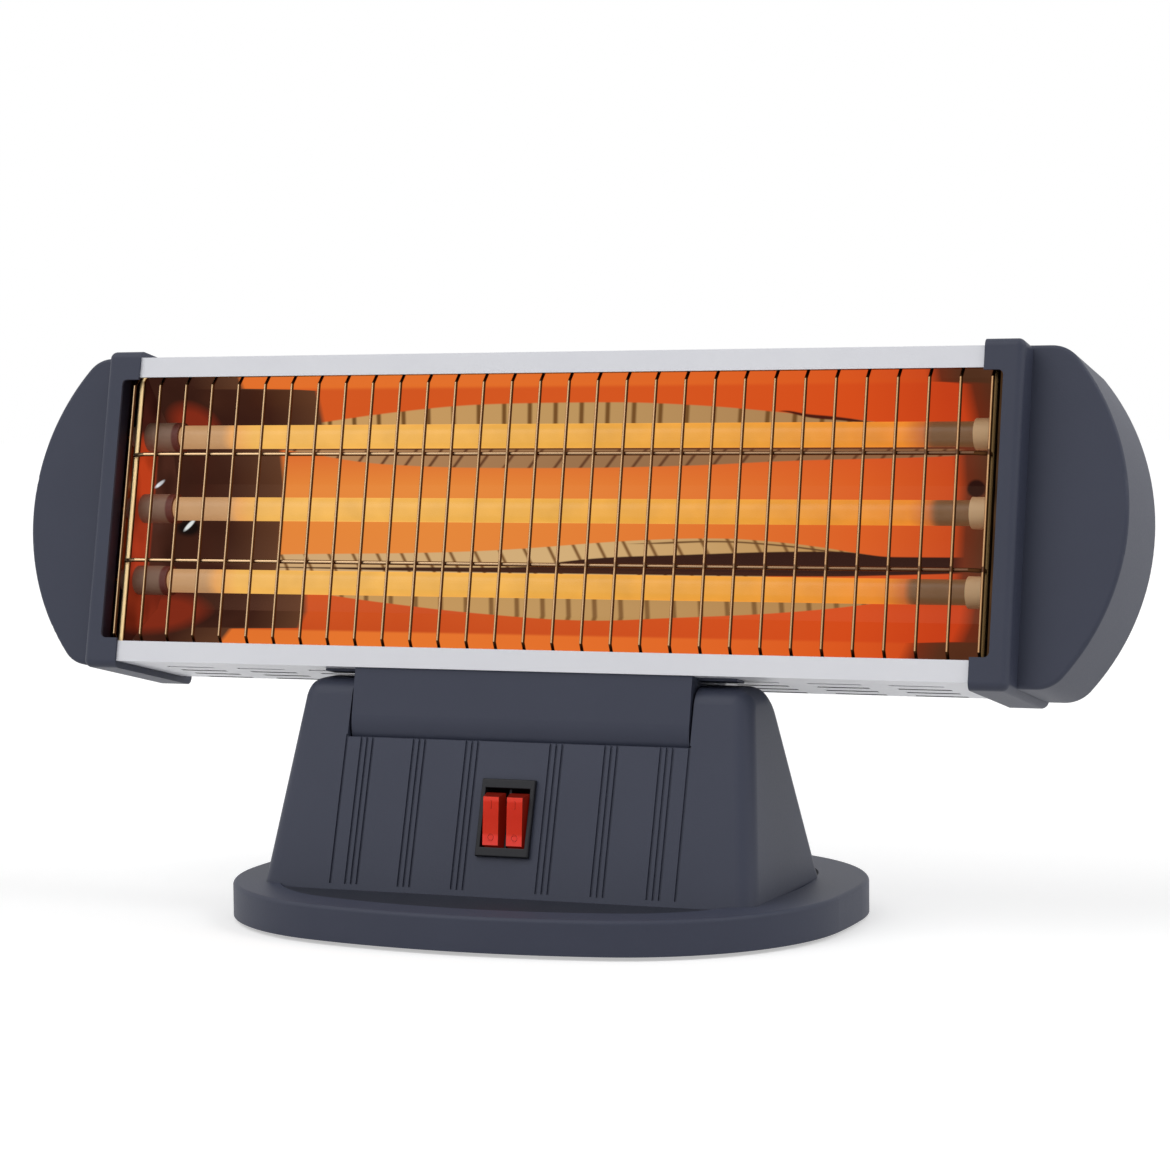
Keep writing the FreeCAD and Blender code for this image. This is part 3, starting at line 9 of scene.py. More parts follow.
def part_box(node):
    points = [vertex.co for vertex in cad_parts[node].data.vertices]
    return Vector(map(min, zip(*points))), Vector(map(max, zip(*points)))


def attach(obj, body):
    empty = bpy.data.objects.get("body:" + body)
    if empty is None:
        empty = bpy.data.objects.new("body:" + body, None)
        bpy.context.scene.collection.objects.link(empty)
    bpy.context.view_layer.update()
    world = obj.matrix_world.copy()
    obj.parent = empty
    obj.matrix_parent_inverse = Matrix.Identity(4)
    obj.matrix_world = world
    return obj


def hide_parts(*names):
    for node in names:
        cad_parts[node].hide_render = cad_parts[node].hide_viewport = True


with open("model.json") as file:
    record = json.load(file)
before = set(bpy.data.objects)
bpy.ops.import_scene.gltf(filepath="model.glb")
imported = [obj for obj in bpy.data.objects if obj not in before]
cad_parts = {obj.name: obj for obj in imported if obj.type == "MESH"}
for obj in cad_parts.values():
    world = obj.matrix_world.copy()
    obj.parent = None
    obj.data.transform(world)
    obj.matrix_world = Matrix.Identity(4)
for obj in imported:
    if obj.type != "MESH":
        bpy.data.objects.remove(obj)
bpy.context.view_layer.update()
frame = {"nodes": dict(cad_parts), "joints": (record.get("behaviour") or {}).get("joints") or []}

# Base tray: one oval moulding of slate grey ABS, open below, with a shallow well in its top.
# The pedestal stands in the well, and the bottom plate closes the tray.
MM = 0.001
COLOUR_OUT = 2  # place of the colour among a mix node's outputs


def linear(code):
    """Linear red, green, blue and alpha of an sRGB hex colour."""
    parts = [int(code[i:i + 2], 16) / 255 for i in (1, 3, 5)]
    return [c / 12.92 if c <= 0.04045 else ((c + 0.055) / 1.055) ** 2.4 for c in parts] + [1.0]


def add(tree, kind, sockets=(), stops=(), bends=(), handles="AUTO_CLAMPED", **settings):
    """Add a node: settings are its properties, sockets are values to set or outputs to link.

    A colour ramp takes stops of (place, hex colour) or (place, hex colour, alpha), and a float
    curve takes bends of (x, y) with one kind of handle.
    """
    made = tree.nodes.new(kind)
    for name, value in settings.items():
        setattr(made, name, value)
    for name, value in dict(sockets).items():
        socket = next(item for item in made.inputs if item.identifier == name)
        if isinstance(value, bpy.types.NodeSocket):
            tree.links.new(value, socket)
        else:
            socket.default_value = value
    if stops:
        ramp = made.color_ramp.elements
        while len(ramp) < len(stops):
            ramp.new(0.5)
        for stop, (place, code, *alpha) in zip(ramp, stops):
            stop.position = place
            stop.color = linear(code)[:3] + (alpha or [1.0])
    if bends:
        line = made.mapping.curves[0]
        while len(line.points) < len(bends):
            line.points.new(0.5, 0.5)
        for point, place in zip(line.points, bends):
            point.location = place
            point.handle_type = handles
        made.mapping.update()
    return made


def new_material(name):
    """An empty node material and its tree."""
    material = bpy.data.materials.new(name)
    material.use_nodes = True
    material.node_tree.nodes.clear()
    return material, material.node_tree


def grained(name, shades, roughness, grain, relief, stretch=(1, 1, 1), **shader):
    """Two close shades in soft patches under a fine grain; grain and relief are in mm."""
    patch, gloss_spread = 30.0, 0.06
    material, tree = new_material(name)
    place = add(tree, "ShaderNodeTexCoord").outputs["Object"]
    drawn = add(tree, "ShaderNodeMapping", {"Vector": place, "Scale": stretch})
    grit = add(tree, "ShaderNodeTexNoise", {
        "Vector": drawn.outputs["Vector"], "Scale": 1 / (grain * MM), "Detail": 3.0,
    }).outputs["Fac"]
    cloud = add(tree, "ShaderNodeTexNoise", {
        "Vector": place, "Scale": 1 / (patch * MM), "Detail": 2.0,
    })
    colour = add(tree, "ShaderNodeMix", {
        "Factor_Float": cloud.outputs["Fac"],
        "A_Color": linear(shades[0]),
        "B_Color": linear(shades[1]),
    }, data_type="RGBA")
    gloss = add(tree, "ShaderNodeMapRange", {
        "Value": grit, "To Min": roughness - gloss_spread, "To Max": roughness + gloss_spread,
    })
    bump = add(tree, "ShaderNodeBump", {"Height": grit, "Distance": relief * MM})
    skin = add(tree, "ShaderNodeBsdfPrincipled", {
        "Base Color": colour.outputs[COLOUR_OUT],
        "Roughness": gloss.outputs["Result"],
        "Normal": bump.outputs["Normal"],
        **shader,
    })
    add(tree, "ShaderNodeOutputMaterial", {"Surface": skin.outputs["BSDF"]})
    return material


def dress(material, *names):
    """Give CAD nodes a material in place of their plain one."""
    for name in names:
        slots = frame["nodes"][name].data.materials
        slots.clear()
        slots.append(material)


def overlay(material, factor, colour):
    """Lay a colour, given or from a node, over a material's own where the factor is 1."""
    tree = material.node_tree
    base = tree.nodes["Principled BSDF"].inputs["Base Color"]
    mixed = add(tree, "ShaderNodeMix", {
        "Factor_Float": factor, "A_Color": base.links[0].from_socket, "B_Color": colour,
    }, data_type="RGBA")
    tree.links.new(mixed.outputs[COLOUR_OUT], base)


# ABS from a spark-eroded tool scatters a soft, slightly blue sheen, and its pits hold back the
# mirror part of it. The real grit of about 0.2 mm is drawn at 0.7 mm so that it shows.
slate_shades = ("#353949", "#3a3e4e")
slate_grit = {"grain": 0.7, "relief": 0.03, "IOR": 1.53, "Specular IOR Level": 0.3}
slate_abs = grained("moulded_slate_abs", slate_shades, roughness=0.52, **slate_grit)
# The well's floor is a little rougher, and its colour is painted darker as painted shade under the
# head and pedestal.
tray_abs_with_shaded_well = grained("moulded_slate_abs_with_painted_well_shade", slate_shades, roughness=0.56, **slate_grit)
well_step, level_normal = 0.6 * MM, 0.95
tree = tray_abs_with_shaded_well.node_tree
texture = add(tree, "ShaderNodeTexCoord")
spot = add(tree, "ShaderNodeSeparateXYZ", {"Vector": texture.outputs["Object"]})
outward = add(tree, "ShaderNodeSeparateXYZ", {"Vector": texture.outputs["Normal"]})
sunk = add(tree, "ShaderNodeMath", {
    "Value": spot.outputs["Z"], "Value_001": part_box("base_plate")[1][2] - well_step,
}, operation="LESS_THAN")
level = add(tree, "ShaderNodeMath", {
    "Value": outward.outputs["Z"], "Value_001": level_normal,
}, operation="GREATER_THAN")
well = add(tree, "ShaderNodeMath", {
    "Value": sunk.outputs["Value"], "Value_001": level.outputs["Value"],
}, operation="MULTIPLY")
# Painted shade: the well's level floor gets a darker colour.
overlay(tray_abs_with_shaded_well, well.outputs["Value"], linear("#22252f"))
dress(tray_abs_with_shaded_well, "base_plate")

# Bottom plate: steel sheet in black stove enamel that closes the tray and carries the feet.
# It is held by four screws in posts of the tray.
# Stoved enamel is a dark half gloss with a slight orange peel.
black_enamel = grained("black_stove_enamel", ("#26282c", "#2d2f33"),
                       roughness=0.42, grain=1.6, relief=0.02, IOR=1.5)
dress(black_enamel, "bottom_plate")

# Feet: four round pads of black rubber, glued to the bottom plate. The grommet of the inlet in the
# pedestal's back wall is the same rubber.
# Moulded rubber is a dull black with a little grey bloom.
black_rubber = grained("moulded_black_rubber", ("#1b1b1c", "#242425"),
                       roughness=0.75, grain=0.9, relief=0.03, IOR=1.52)
dress(black_rubber, "rubber_feet", "cord_gland")

# Hidden screws, bolts and nuts: turned and rolled in steel, zinc plated and passivated.
# They join tray and pedestal, pedestal and neck, and neck and housing.
# Zinc plate is a cool grey metal with a fine crystalline sparkle.
zinc_plate = grained("zinc_plated_steel", ("#a9adb2", "#bdc0c4"),
                     roughness=0.36, grain=0.8, relief=0.01, Metallic=1.0)
dress(zinc_plate, "pedestal_screws", "neck_screws", "pivot_bolts", "pivot_nuts")

# Pedestal: hollow moulding of the same slate ABS, with fine grooves down its sloping front and
# two ears that carry the neck. It stands in the tray's well on four screws from below.
dress(slate_abs, "pedestal")

# Tip-over switch inside the pedestal: nylon case and pin, and a spring that pushes the pin out.
# The friction washers of the tilt joint are the same nylon.
# Undyed nylon is a waxy off-white, and drawn spring wire a plain bright grey.
natural_nylon = grained("natural_nylon", ("#d6d0bf", "#ded9ca"),
                        roughness=0.45, grain=1.2, relief=0.02, IOR=1.53)
spring_steel = grained("spring_steel", ("#8c8f94", "#9ea1a5"),
                       roughness=0.3, grain=0.8, relief=0.01, Metallic=1.0)
dress(natural_nylon, "tip_switch_case", "tip_pin", "friction_washers")
dress(spring_steel, "tip_spring")

# Twin rocker switch: black nylon bezel and body snapped into the front panel, brass blades behind.
# The strip and the tags on the leads of the heating wires are the same rolled brass.
SAME_POINT = 1e-6  # corners nearer than this, in metres, are one


def soften(node, width, segments=3, sharp=35):
    """Break a CAD node's sharp edges by a small radius in mm, where they turn by that angle."""
    item = frame["nodes"][node]
    weld = item.modifiers.new("weld", "WELD")
    weld.merge_threshold = SAME_POINT
    edge = item.modifiers.new("broken_edges", "BEVEL")
    edge.width = width * MM
    edge.segments = segments
    edge.limit_method = "ANGLE"
    edge.angle_limit = math.radians(sharp)
    item.modifiers.new("flat_faces", "WEIGHTED_NORMAL")


# Moulded nylon is a little glossier than the panel round it, and rolled brass a soft yellow.
black_nylon = grained("moulded_black_nylon", ("#131419", "#18191f"),
                      roughness=0.42, grain=0.9, relief=0.02,
                      **{"IOR": 1.53, "Specular IOR Level": 0.25})
blade_brass = grained("rolled_brass", ("#b08d4c", "#c09c58"),
                      roughness=0.34, grain=1.0, relief=0.01, Metallic=1.0)
dress(black_nylon, "switch_housing")
dress(blade_brass, "switch_blades", "common_strip", "lead_tags")
soften("switch_housing", 0.3)

# Rockers: red polycarbonate mouldings, tapered to a flat face, each snapped in on its own axle.
# Faces are painted brighter, most of all at the top and bottom, as a painted highlight, flanks a
# deep red as painted shade, and a weak red glow is painted over all.
flank_normal, face_normal = -0.75, -0.98
rocker_low, rocker_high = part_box("rocker_left")
rocker_red, tree = new_material("clear_red_polycarbonate")
texture = add(tree, "ShaderNodeTexCoord")
outward = add(tree, "ShaderNodeSeparateXYZ", {"Vector": texture.outputs["Normal"]})
forward = add(tree, "ShaderNodeMapRange", {
    "Value": outward.outputs["Y"], "From Min": flank_normal, "From Max": face_normal,
})
spot = add(tree, "ShaderNodeSeparateXYZ", {"Vector": texture.outputs["Object"]})
rise = add(tree, "ShaderNodeMapRange", {
    "Value": spot.outputs["Z"], "From Min": rocker_low[2], "From Max": rocker_high[2],
})
# Painted highlight: the face is brighter at its top and bottom.
face = add(tree, "ShaderNodeValToRGB", {"Fac": rise.outputs["Result"]}, stops=(
    (0.08, "#ff5046"), (0.24, "#fe4a3e"), (0.3, "#e03620"), (0.6, "#d8301a"),
    (0.86, "#de3420"), (0.9, "#f44838"),
))
# Painted shade: the flanks turn deep red.
flank_shade = add(tree, "ShaderNodeMix", {
    "Factor_Float": forward.outputs["Result"],
    "A_Color": linear("#56170f"),
    "B_Color": face.outputs["Color"],
}, data_type="RGBA")
skin = add(tree, "ShaderNodeBsdfPrincipled", {
    "Base Color": flank_shade.outputs[COLOUR_OUT],
    "Roughness": 0.32,
    "IOR": 1.58,
    "Specular IOR Level": 0.12,
    # A weak painted red glow.
    "Emission Color": linear("#ff2c10"),
    "Emission Strength": 0.06,
})
add(tree, "ShaderNodeOutputMaterial", {"Surface": skin.outputs["BSDF"]})
dress(rocker_red, "rocker_left", "rocker_right")
for side in ("left", "right"):
    soften(f"rocker_{side}", 0.35)


# Rocker marks: a ring at the lower end and a bar at the upper end of each face, the usual signs for
# off and on. They are moulded with the rocker and stand 0.15 mm proud of it.
def mesh_from(draft, name):
    """Turn a finished draft into a mesh."""
    mesh = bpy.data.meshes.new(name)
    draft.to_mesh(mesh)
    draft.free()
    return mesh


def put_in_scene(name, data):
    """Add an object with this mesh, lamp or lens to the scene."""
    item = bpy.data.objects.new(name, data)
    bpy.context.scene.collection.objects.link(item)
    return item


# Sizes in mm on the face: distance of both marks from its middle, section through the ring as
# (radius, height), and foot and top of the bar as (half width, half length, height).
mark_offset = 6.2
ring_steps = 40
ring_section = ((1.4, 0.0), (1.3, 0.15), (1.0, 0.15), (0.9, 0.0))
bar_section = ((0.3, 1.5, 0.0), (0.22, 1.42, 0.15))
square = ((-1, -1), (1, -1), (1, 1), (-1, 1))
same_way = 0.999
for side in ("left", "right"):
    polygons = frame["nodes"][f"rocker_{side}"].data.polygons
    broad = max(polygons, key=lambda polygon: polygon.area).normal
    flat = [polygon for polygon in polygons if polygon.normal.dot(broad) > same_way]
    area = sum(polygon.area for polygon in flat)
    middle = sum((polygon.center * polygon.area for polygon in flat), Vector()) / area
    up = (Vector((0, 0, 1)) - broad * broad.z).normalized()
    turned = Matrix((up.cross(broad), up, broad)).transposed().to_4x4()
    on_face = Matrix.Translation(middle) @ turned @ Matrix.Scale(MM, 4)
    marks = bmesh.new()
    ring = []
    for step in range(ring_steps):
        turn = math.tau * step / ring_steps
        ring.append([marks.verts.new(on_face @ Vector(
            (radius * math.cos(turn), radius * math.sin(turn) - mark_offset, height)
        )) for radius, height in ring_section])
    for here, there in zip(ring, ring[1:] + ring[:1]):
        for k in range(len(ring_section) - 1):
            marks.faces.new((here[k], there[k], there[k + 1], here[k + 1]))
    foot, top = ([marks.verts.new(on_face @ Vector(
        (x * half_width, mark_offset + y * half_length, height)
    )) for x, y in square] for half_width, half_length, height in bar_section)
    marks.faces.new(top)
    for corners in zip(foot, foot[1:] + foot[:1], top[1:] + top[:1], top):
        marks.faces.new(corners)
    bmesh.ops.recalc_face_normals(marks, faces=marks.faces)
    piece = put_in_scene(f"rocker_marks_{side}", mesh_from(marks, f"rocker_marks_{side}"))
    piece.data.materials.append(rocker_red)
    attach(piece, f"{side}_rocker")

# Neck: hollow barrel of slate ABS between the ears, clamped by the two bolts.
# Its front is plain, and its thin flange carries the housing.
dress(slate_abs, "neck")

# Housing: folded steel channel in silver-white enamel, with lips at the front and vent slots in the
# top and underside. It leans back with the head and is screwed to the neck's flange.
tilt = next(joint for joint in frame["joints"] if joint["name"] == "head_tilt")
lean = math.radians(-tilt["range_deg"][0])
head = Matrix.Translation(tilt["pos_m"]) @ Matrix.Rotation(-lean, 4, "X")
upright = head.inverted()


def head_box(node):
    """Lowest and highest corner of a node in the head's own upright frame."""
    corners = [upright @ vertex.co for vertex in frame["nodes"][node].data.vertices]
    return Vector(map(min, zip(*corners))), Vector(map(max, zip(*corners)))


# Sprayed enamel has a faint orange peel about 2 mm across. The inside is painted dark grey as
# painted shade, so the vent slots look dark.
silver_enamel = grained("silver_white_enamel", ("#e6e7ee", "#edeef3"),
                        roughness=0.34, grain=2.0, relief=0.02, IOR=1.5)
tree = silver_enamel.node_tree
texture = add(tree, "ShaderNodeTexCoord")
housing_middle = head @ (sum(head_box("housing"), Vector()) / 2)
from_middle = add(tree, "ShaderNodeVectorMath", {
    "Vector": texture.outputs["Object"], "Vector_001": housing_middle,
}, operation="SUBTRACT")
outward = add(tree, "ShaderNodeVectorMath", {
    "Vector": texture.outputs["Normal"], "Vector_001": from_middle.outputs["Vector"],
}, operation="DOT_PRODUCT")
inside = add(tree, "ShaderNodeMath", {
    "Value": outward.outputs["Value"], "Value_001": 0.0,
}, operation="LESS_THAN")
# Painted shade: faces that look inward are dark grey.
overlay(silver_enamel, inside.outputs["Value"], linear("#3c3e42"))
dress(silver_enamel, "housing")

# Reflector: polished aluminium trough behind the tubes, bent in flat facets, inside the housing.
# Painted reflections glow on it: tubes as orange bands, the pale room as two striped bands between
# them.
# Widths u and heights v on it are in mm from the trough's middle.
trough_low, trough_high = head_box("reflector")
trough_length = trough_high.x - trough_low.x
trough_height = trough_high.z - trough_low.z
trough_middle = (trough_low.z + trough_high.z) / 2


def along(u):
    """Place of a width as a share of the trough's length."""
    return 0.5 + u * MM / trough_length


def across(v):
    """Place of a height as a share of the trough's height."""
    return 0.5 + v * MM / trough_height


def in_head(tree, place):
    """Turn a place into the head's upright frame: the whole vector, and its X, Y and Z."""
    local = add(tree, "ShaderNodeMapping", {
        "Vector": place, "Location": upright.to_translation(), "Rotation": upright.to_euler(),
    }).outputs["Vector"]
    return local, add(tree, "ShaderNodeSeparateXYZ", {"Vector": local}).outputs


def painted_spot(tree, place, under, centre, turn, halves, soft, code):
    """Lay an elliptical painted spot over the colour under it; halves are its half axes in metres.
    """
    inner = add(tree, "ShaderNodeMapping", {
        "Vector": place, "Location": centre, "Rotation": turn, "Scale": halves,
    }, vector_type="TEXTURE")
    reach = add(tree, "ShaderNodeVectorMath", {
        "Vector": inner.outputs["Vector"],
    }, operation="LENGTH")
    inside = add(tree, "ShaderNodeMapRange", {
        "Value": reach.outputs["Value"], "From Min": 1 + soft, "From Max": 1 - soft,
    })
    return add(tree, "ShaderNodeMix", {
        "Factor_Float": inside.outputs["Result"], "A_Color": under, "B_Color": linear(code),
    }, data_type="RGBA").outputs[COLOUR_OUT]


painted_glow_aluminium, tree = new_material("polished_aluminium_with_painted_glow")
texture = add(tree, "ShaderNodeTexCoord")
local, spot = in_head(tree, texture.outputs["Object"])
u_place = add(tree, "ShaderNodeMapRange", {
    "Value": spot["X"], "From Min": trough_low.x, "From Max": trough_high.x,
}).outputs["Result"]
v_place = add(tree, "ShaderNodeMapRange", {
    "Value": spot["Z"], "From Min": trough_low.z, "From Max": trough_high.z,
}).outputs["Result"]
# Painted orange reflections of the tubes from the lower lip to the upper one, as (v, colour).
painted_tube_bands = (
    (-46.0, "#e0722c"), (-45.0, "#bf461b"), (-30.0, "#c84c1c"), (-12.0, "#e2863a"),
    (16.0, "#e3883c"), (36.0, "#d25622"), (51.2, "#ce5320"), (52.2, "#e16f2a"),
)
orange = add(tree, "ShaderNodeValToRGB", {"Fac": v_place},
             stops=[(across(v), code) for v, code in painted_tube_bands])
# The painted glow turns redder to the right, as (u, colour, share of it).
redder_places = (
    (-110.0, "#dc6c30", 0.1), (-60.0, "#dc6428", 0.0), (50.0, "#d8521e", 0.4),
    (120.0, "#d44a1a", 0.75), (158.0, "#c03c18", 0.9),
)
redder = add(tree, "ShaderNodeValToRGB", {"Fac": u_place},
             stops=[(along(u), code, share) for u, code, share in redder_places])
painted_glow = add(tree, "ShaderNodeMix", {
    "Factor_Float": redder.outputs["Alpha"],
    "A_Color": orange.outputs["Color"],
    "B_Color": redder.outputs["Color"],
}, data_type="RGBA").outputs[COLOUR_OUT]
# Painted pale reflections and painted dark bands over it: upper edge and lower edge as (u, v),
# colours from left to right, and the guard's painted reflected wires across them as (colour, width,
# u and v of one wire, slant), or None.
bands = (
    # Painted reflection of the pale room above and below the upper tube
    (((-180, 33), (-106, 40.7), (-71, 43.9), (-34, 46.1), (16, 46.5), (53, 45.5), (94, 42.6),
      (129, 39.5), (180, 34)),
     ((-180, 34), (180, 34)),
     ("#c89a60", "#bb955f", "#a47c52"), ("#6f4d28", 1.9, -3.3, 43.0, 0.46)),
    (((-180, 34), (180, 34)),
     ((-180, 37), (-121, 29.7), (-85, 25.1), (-14, 23.5), (49, 24.4), (91, 26.1), (148, 27.5),
      (180, 29)),
     ("#b1845a", "#96704c", "#8a6242"), ("#5e3c26", 1.5, -5.2, 26.3, 0.95)),
    # Painted reflection of the pale room above and below the lower tube
    (((-180, -14), (-142, -12.5), (-39, -9.8), (33, -4.7), (62, -3.9), (84, -4.9), (104, -6.9),
      (117, -8.8), (150, -14), (180, -20)),
     ((-180, -22), (70, -22), (96, -14), (180, -10)),
     ("#cba676", "#cfac78", "#b48850"), ("#7a5630", 1.5, -7.8, -10.3, -0.6)),
    (((-180, -22), (180, -22)),
     ((-180, -18), (-102, -29.3), (-69, -33), (-33, -36.1), (13, -38.3), (48, -36.4), (96, -33.1),
      (130, -28.8), (180, -20)),
     ("#c09458", "#b8925c", "#ac804c"), ("#7a5830", 2.0, -7.1, -33.5, -0.27)),
    # A painted thin dark line along the top of the lower band
    (((-180, -16), (-142, -14), (-39, -11), (28, -6.2), (62, -4.8), (84, -5.8), (104, -7.8),
      (117, -9.6), (180, -22)),
     ((-180, -12), (0, -6.0), (33, -6.3), (62, -5.4), (84, -6.4), (104, -8.4), (117, -10.0),
      (180, -21)),
     ("#6e5030", "#6e5030", "#5a3c24"), None),
    # A painted shadow line under the upper tube, and a painted dark wedge over the lower one
    (((-180, 30.6), (-108, 31.0), (-60, 31.9), (0, 31.9), (90, 31.4), (180, 31.4)),
     ((-180, 30.5), (180, 30.3)),
     ("#3a1c14", "#5a3220", "#5a2a1a"), None),
    (((-180, -17.4), (-112, -17.2), (-73, -16.8), (-12, -15.6), (-4, -13.9), (52, -10.3),
      (111, -8.6), (134, -10.4), (180, -10.2)),
     ((-180, -17.5), (-112, -17.8), (-73, -18.3), (52, -18.6), (111, -18.3), (134, -17.5),
      (180, -15.6)),
     ("#20100d", "#28130f", "#221010"), None),
    # A short painted dark sliver on the right of the upper band
    (((-180, 20), (80, 38), (92, 43.4), (101, 42.3), (112, 41.4), (124, 39.9), (180, 30)),
     ((-180, 30), (80, 44), (92, 43.0), (101, 41.2), (112, 40.3), (124, 39.4), (180, 38)),
     ("#401812", "#401812", "#401812"), None),
)
tone_places = (-110, 0, 120)
band_edge, wire_edge, stripe_pitch = 0.002, 0.5, 11.06
for upper, lower, codes, wires in bands:
    top, bottom = (add(tree, "ShaderNodeFloatCurve", {"Value": u_place},
                       bends=[(along(u), across(v)) for u, v in line]) for line in (upper, lower))
    below = add(tree, "ShaderNodeMath", {
        "Value": top.outputs["Value"], "Value_001": v_place,
    }, operation="SUBTRACT")
    above = add(tree, "ShaderNodeMath", {
        "Value": v_place, "Value_001": bottom.outputs["Value"],
    }, operation="SUBTRACT")
    nearest = add(tree, "ShaderNodeMath", {
        "Value": below.outputs["Value"], "Value_001": above.outputs["Value"],
    }, operation="MINIMUM")
    inside = add(tree, "ShaderNodeMapRange", {
        "Value": nearest.outputs["Value"], "From Min": -band_edge, "From Max": band_edge,
    })
    tone = add(tree, "ShaderNodeValToRGB", {"Fac": u_place}, stops=[
        (along(u), code) for u, code in zip(tone_places, codes)
    ]).outputs["Color"]
    if wires:
        dark, width, first, height, slant = wires
        offset = slant * (trough_middle + height * MM) - first * MM
        shift = add(tree, "ShaderNodeMath", {
            "Value": spot["Z"], "Value_001": -slant, "Value_002": offset,
        }, operation="MULTIPLY_ADD")
        run = add(tree, "ShaderNodeMath", {
            "Value": spot["X"], "Value_001": shift.outputs["Value"],
        }, operation="ADD")
        gap = add(tree, "ShaderNodeMath", {
            "Value": run.outputs["Value"], "Value_001": stripe_pitch / 2 * MM,
        }, operation="PINGPONG")
        clear = add(tree, "ShaderNodeMapRange", {
            "Value": gap.outputs["Value"],
            "From Min": (width / 2 - wire_edge) * MM,
            "From Max": (width / 2 + wire_edge) * MM,
        })
        tone = add(tree, "ShaderNodeMix", {
            "Factor_Float": clear.outputs["Result"], "A_Color": linear(dark), "B_Color": tone,
        }, data_type="RGBA").outputs[COLOUR_OUT]
    painted_glow = add(tree, "ShaderNodeMix", {
        "Factor_Float": inside.outputs["Result"], "A_Color": painted_glow, "B_Color": tone,
    }, data_type="RGBA").outputs[COLOUR_OUT]
# Both ends carry a painted reflection of the dark end plates, up to an edge that differs from facet
# to facet.
# Each has that edge as (v, u), its softness, two smoky shades, the colour along the edge, and how
# far that colour reaches; lengths are in mm and count towards the end.
dark_ends = (
    (((-60, -138.7), (-45.2, -138.7), (-44.8, -108.4), (-27.2, -113.5), (-26.8, -129.3),
      (32, -129.3), (32.4, -109.0), (51.5, -104.3), (51.9, -137.4), (60, -137.4)),
     -1.2, ("#2a1410", "#42251a"), "#5e3c28", -24.0),
    (((-60, 148.5), (-45.2, 148.5), (-44.8, 165.5), (-27.2, 165.5), (-26.8, 158.5),
      (32, 158.5), (32.4, 165.5), (51.5, 165.5), (51.9, 154), (60, 154)),
     3.0, ("#3e2214", "#563522"), "#742814", 12.0),
)
smoke_size, edge_share = 22.0, 0.8
smoke = add(tree, "ShaderNodeTexNoise", {
    "Vector": texture.outputs["Object"], "Scale": 1 / (smoke_size * MM), "Detail": 2.0,
})
for edge, soft, shades, edge_code, edge_reach in dark_ends:
    line = add(tree, "ShaderNodeFloatCurve", {"Value": v_place},
               bends=[(across(v), along(u)) for v, u in edge], handles="VECTOR")
    past = add(tree, "ShaderNodeMath", {
        "Value": u_place, "Value_001": line.outputs["Value"],
    }, operation="SUBTRACT").outputs["Value"]
    shade = add(tree, "ShaderNodeMapRange", {
        "Value": past,
        "From Min": -soft * MM / trough_length,
        "From Max": soft * MM / trough_length,
    })
    closer = add(tree, "ShaderNodeMapRange", {
        "Value": past,
        "From Min": edge_reach * MM / trough_length,
        "From Max": 0.0,
        "To Max": edge_share,
    })
    dusk = add(tree, "ShaderNodeMix", {
        "Factor_Float": smoke.outputs["Fac"],
        "A_Color": linear(shades[0]),
        "B_Color": linear(shades[1]),
    }, data_type="RGBA").outputs[COLOUR_OUT]
    dusk = add(tree, "ShaderNodeMix", {
        "Factor_Float": closer.outputs["Result"], "A_Color": dusk, "B_Color": linear(edge_code),
    }, data_type="RGBA").outputs[COLOUR_OUT]
    painted_glow = add(tree, "ShaderNodeMix", {
        "Factor_Float": shade.outputs["Result"], "A_Color": painted_glow, "B_Color": dusk,
    }, data_type="RGBA").outputs[COLOUR_OUT]
# Painted spots near the ends: a painted red glow off the left plate, and dark mirrored lead clips,
# one with a painted white glint.
# Each is (u, v, half length and half width in mm, turn in degrees, softness of its edge, colour).
for u, v, half_length, half_width, turn, soft, code in (
    (-167.0, 40.0, 10.0, 6.5, 0.0, 0.35, "#7e2a18"),
    (-176.0, -39.0, 19.0, 8.5, 0.0, 0.3, "#7c2a18"),
    (-172.5, -1.3, 5.5, 3.3, 0.0, 0.3, "#14100e"),
    (-172.3, -0.2, 3.1, 0.85, -45.0, 0.3, "#dfe4e2"),
    (164.7, 16.0, 3.6, 3.3, 0.0, 0.15, "#200e0c"),
):
    painted_glow = painted_spot(
        tree, local, painted_glow,
        centre=(u * MM, 0.0, trough_middle + v * MM), turn=(0.0, math.radians(turn), 0.0),
        halves=(half_length * MM, 1.0, half_width * MM), soft=soft, code=code)
# Only the faces towards the tubes carry the painted glow; the back of the sheet is a darkened grey,
# painted shade that looks dark through the vent slots.
edge_on = 0.02
towards = add(tree, "ShaderNodeVectorMath", {
    "Vector": texture.outputs["Normal"], "Vector_001": head.to_3x3() @ Vector((0, -1, 0)),
}, operation="DOT_PRODUCT")
front = add(tree, "ShaderNodeMath", {
    "Value": towards.outputs["Value"], "Value_001": edge_on,
}, operation="GREATER_THAN").outputs["Value"]
metal = add(tree, "ShaderNodeMix", {
    "Factor_Float": front, "A_Color": linear("#585a5e"), "B_Color": linear("#2a1a12"),
}, data_type="RGBA")
skin = add(tree, "ShaderNodeBsdfPrincipled", {
    "Base Color": metal.outputs[COLOUR_OUT],
    "Metallic": 1.0,
    "Roughness": 0.3,
    "Emission Color": painted_glow,
    "Emission Strength": front,
})
add(tree, "ShaderNodeOutputMaterial", {"Surface": skin.outputs["BSDF"]})
dress(painted_glow_aluminium, "reflector")

# Tubes: three drawn quartz tubes that sit in the ceramics and glow where the wire inside is wound.
# Fine bubbles make the quartz milky, so that it glows evenly with a soft flicker along its length.
# Cold ends are beige on the left and a darker brown on the right, and carry a weak painted glow.
tube_low, tube_high = head_box("quartz_tube_upper")
bubble_size, flicker_low, flicker_high = 11.0, 0.8, 1.08
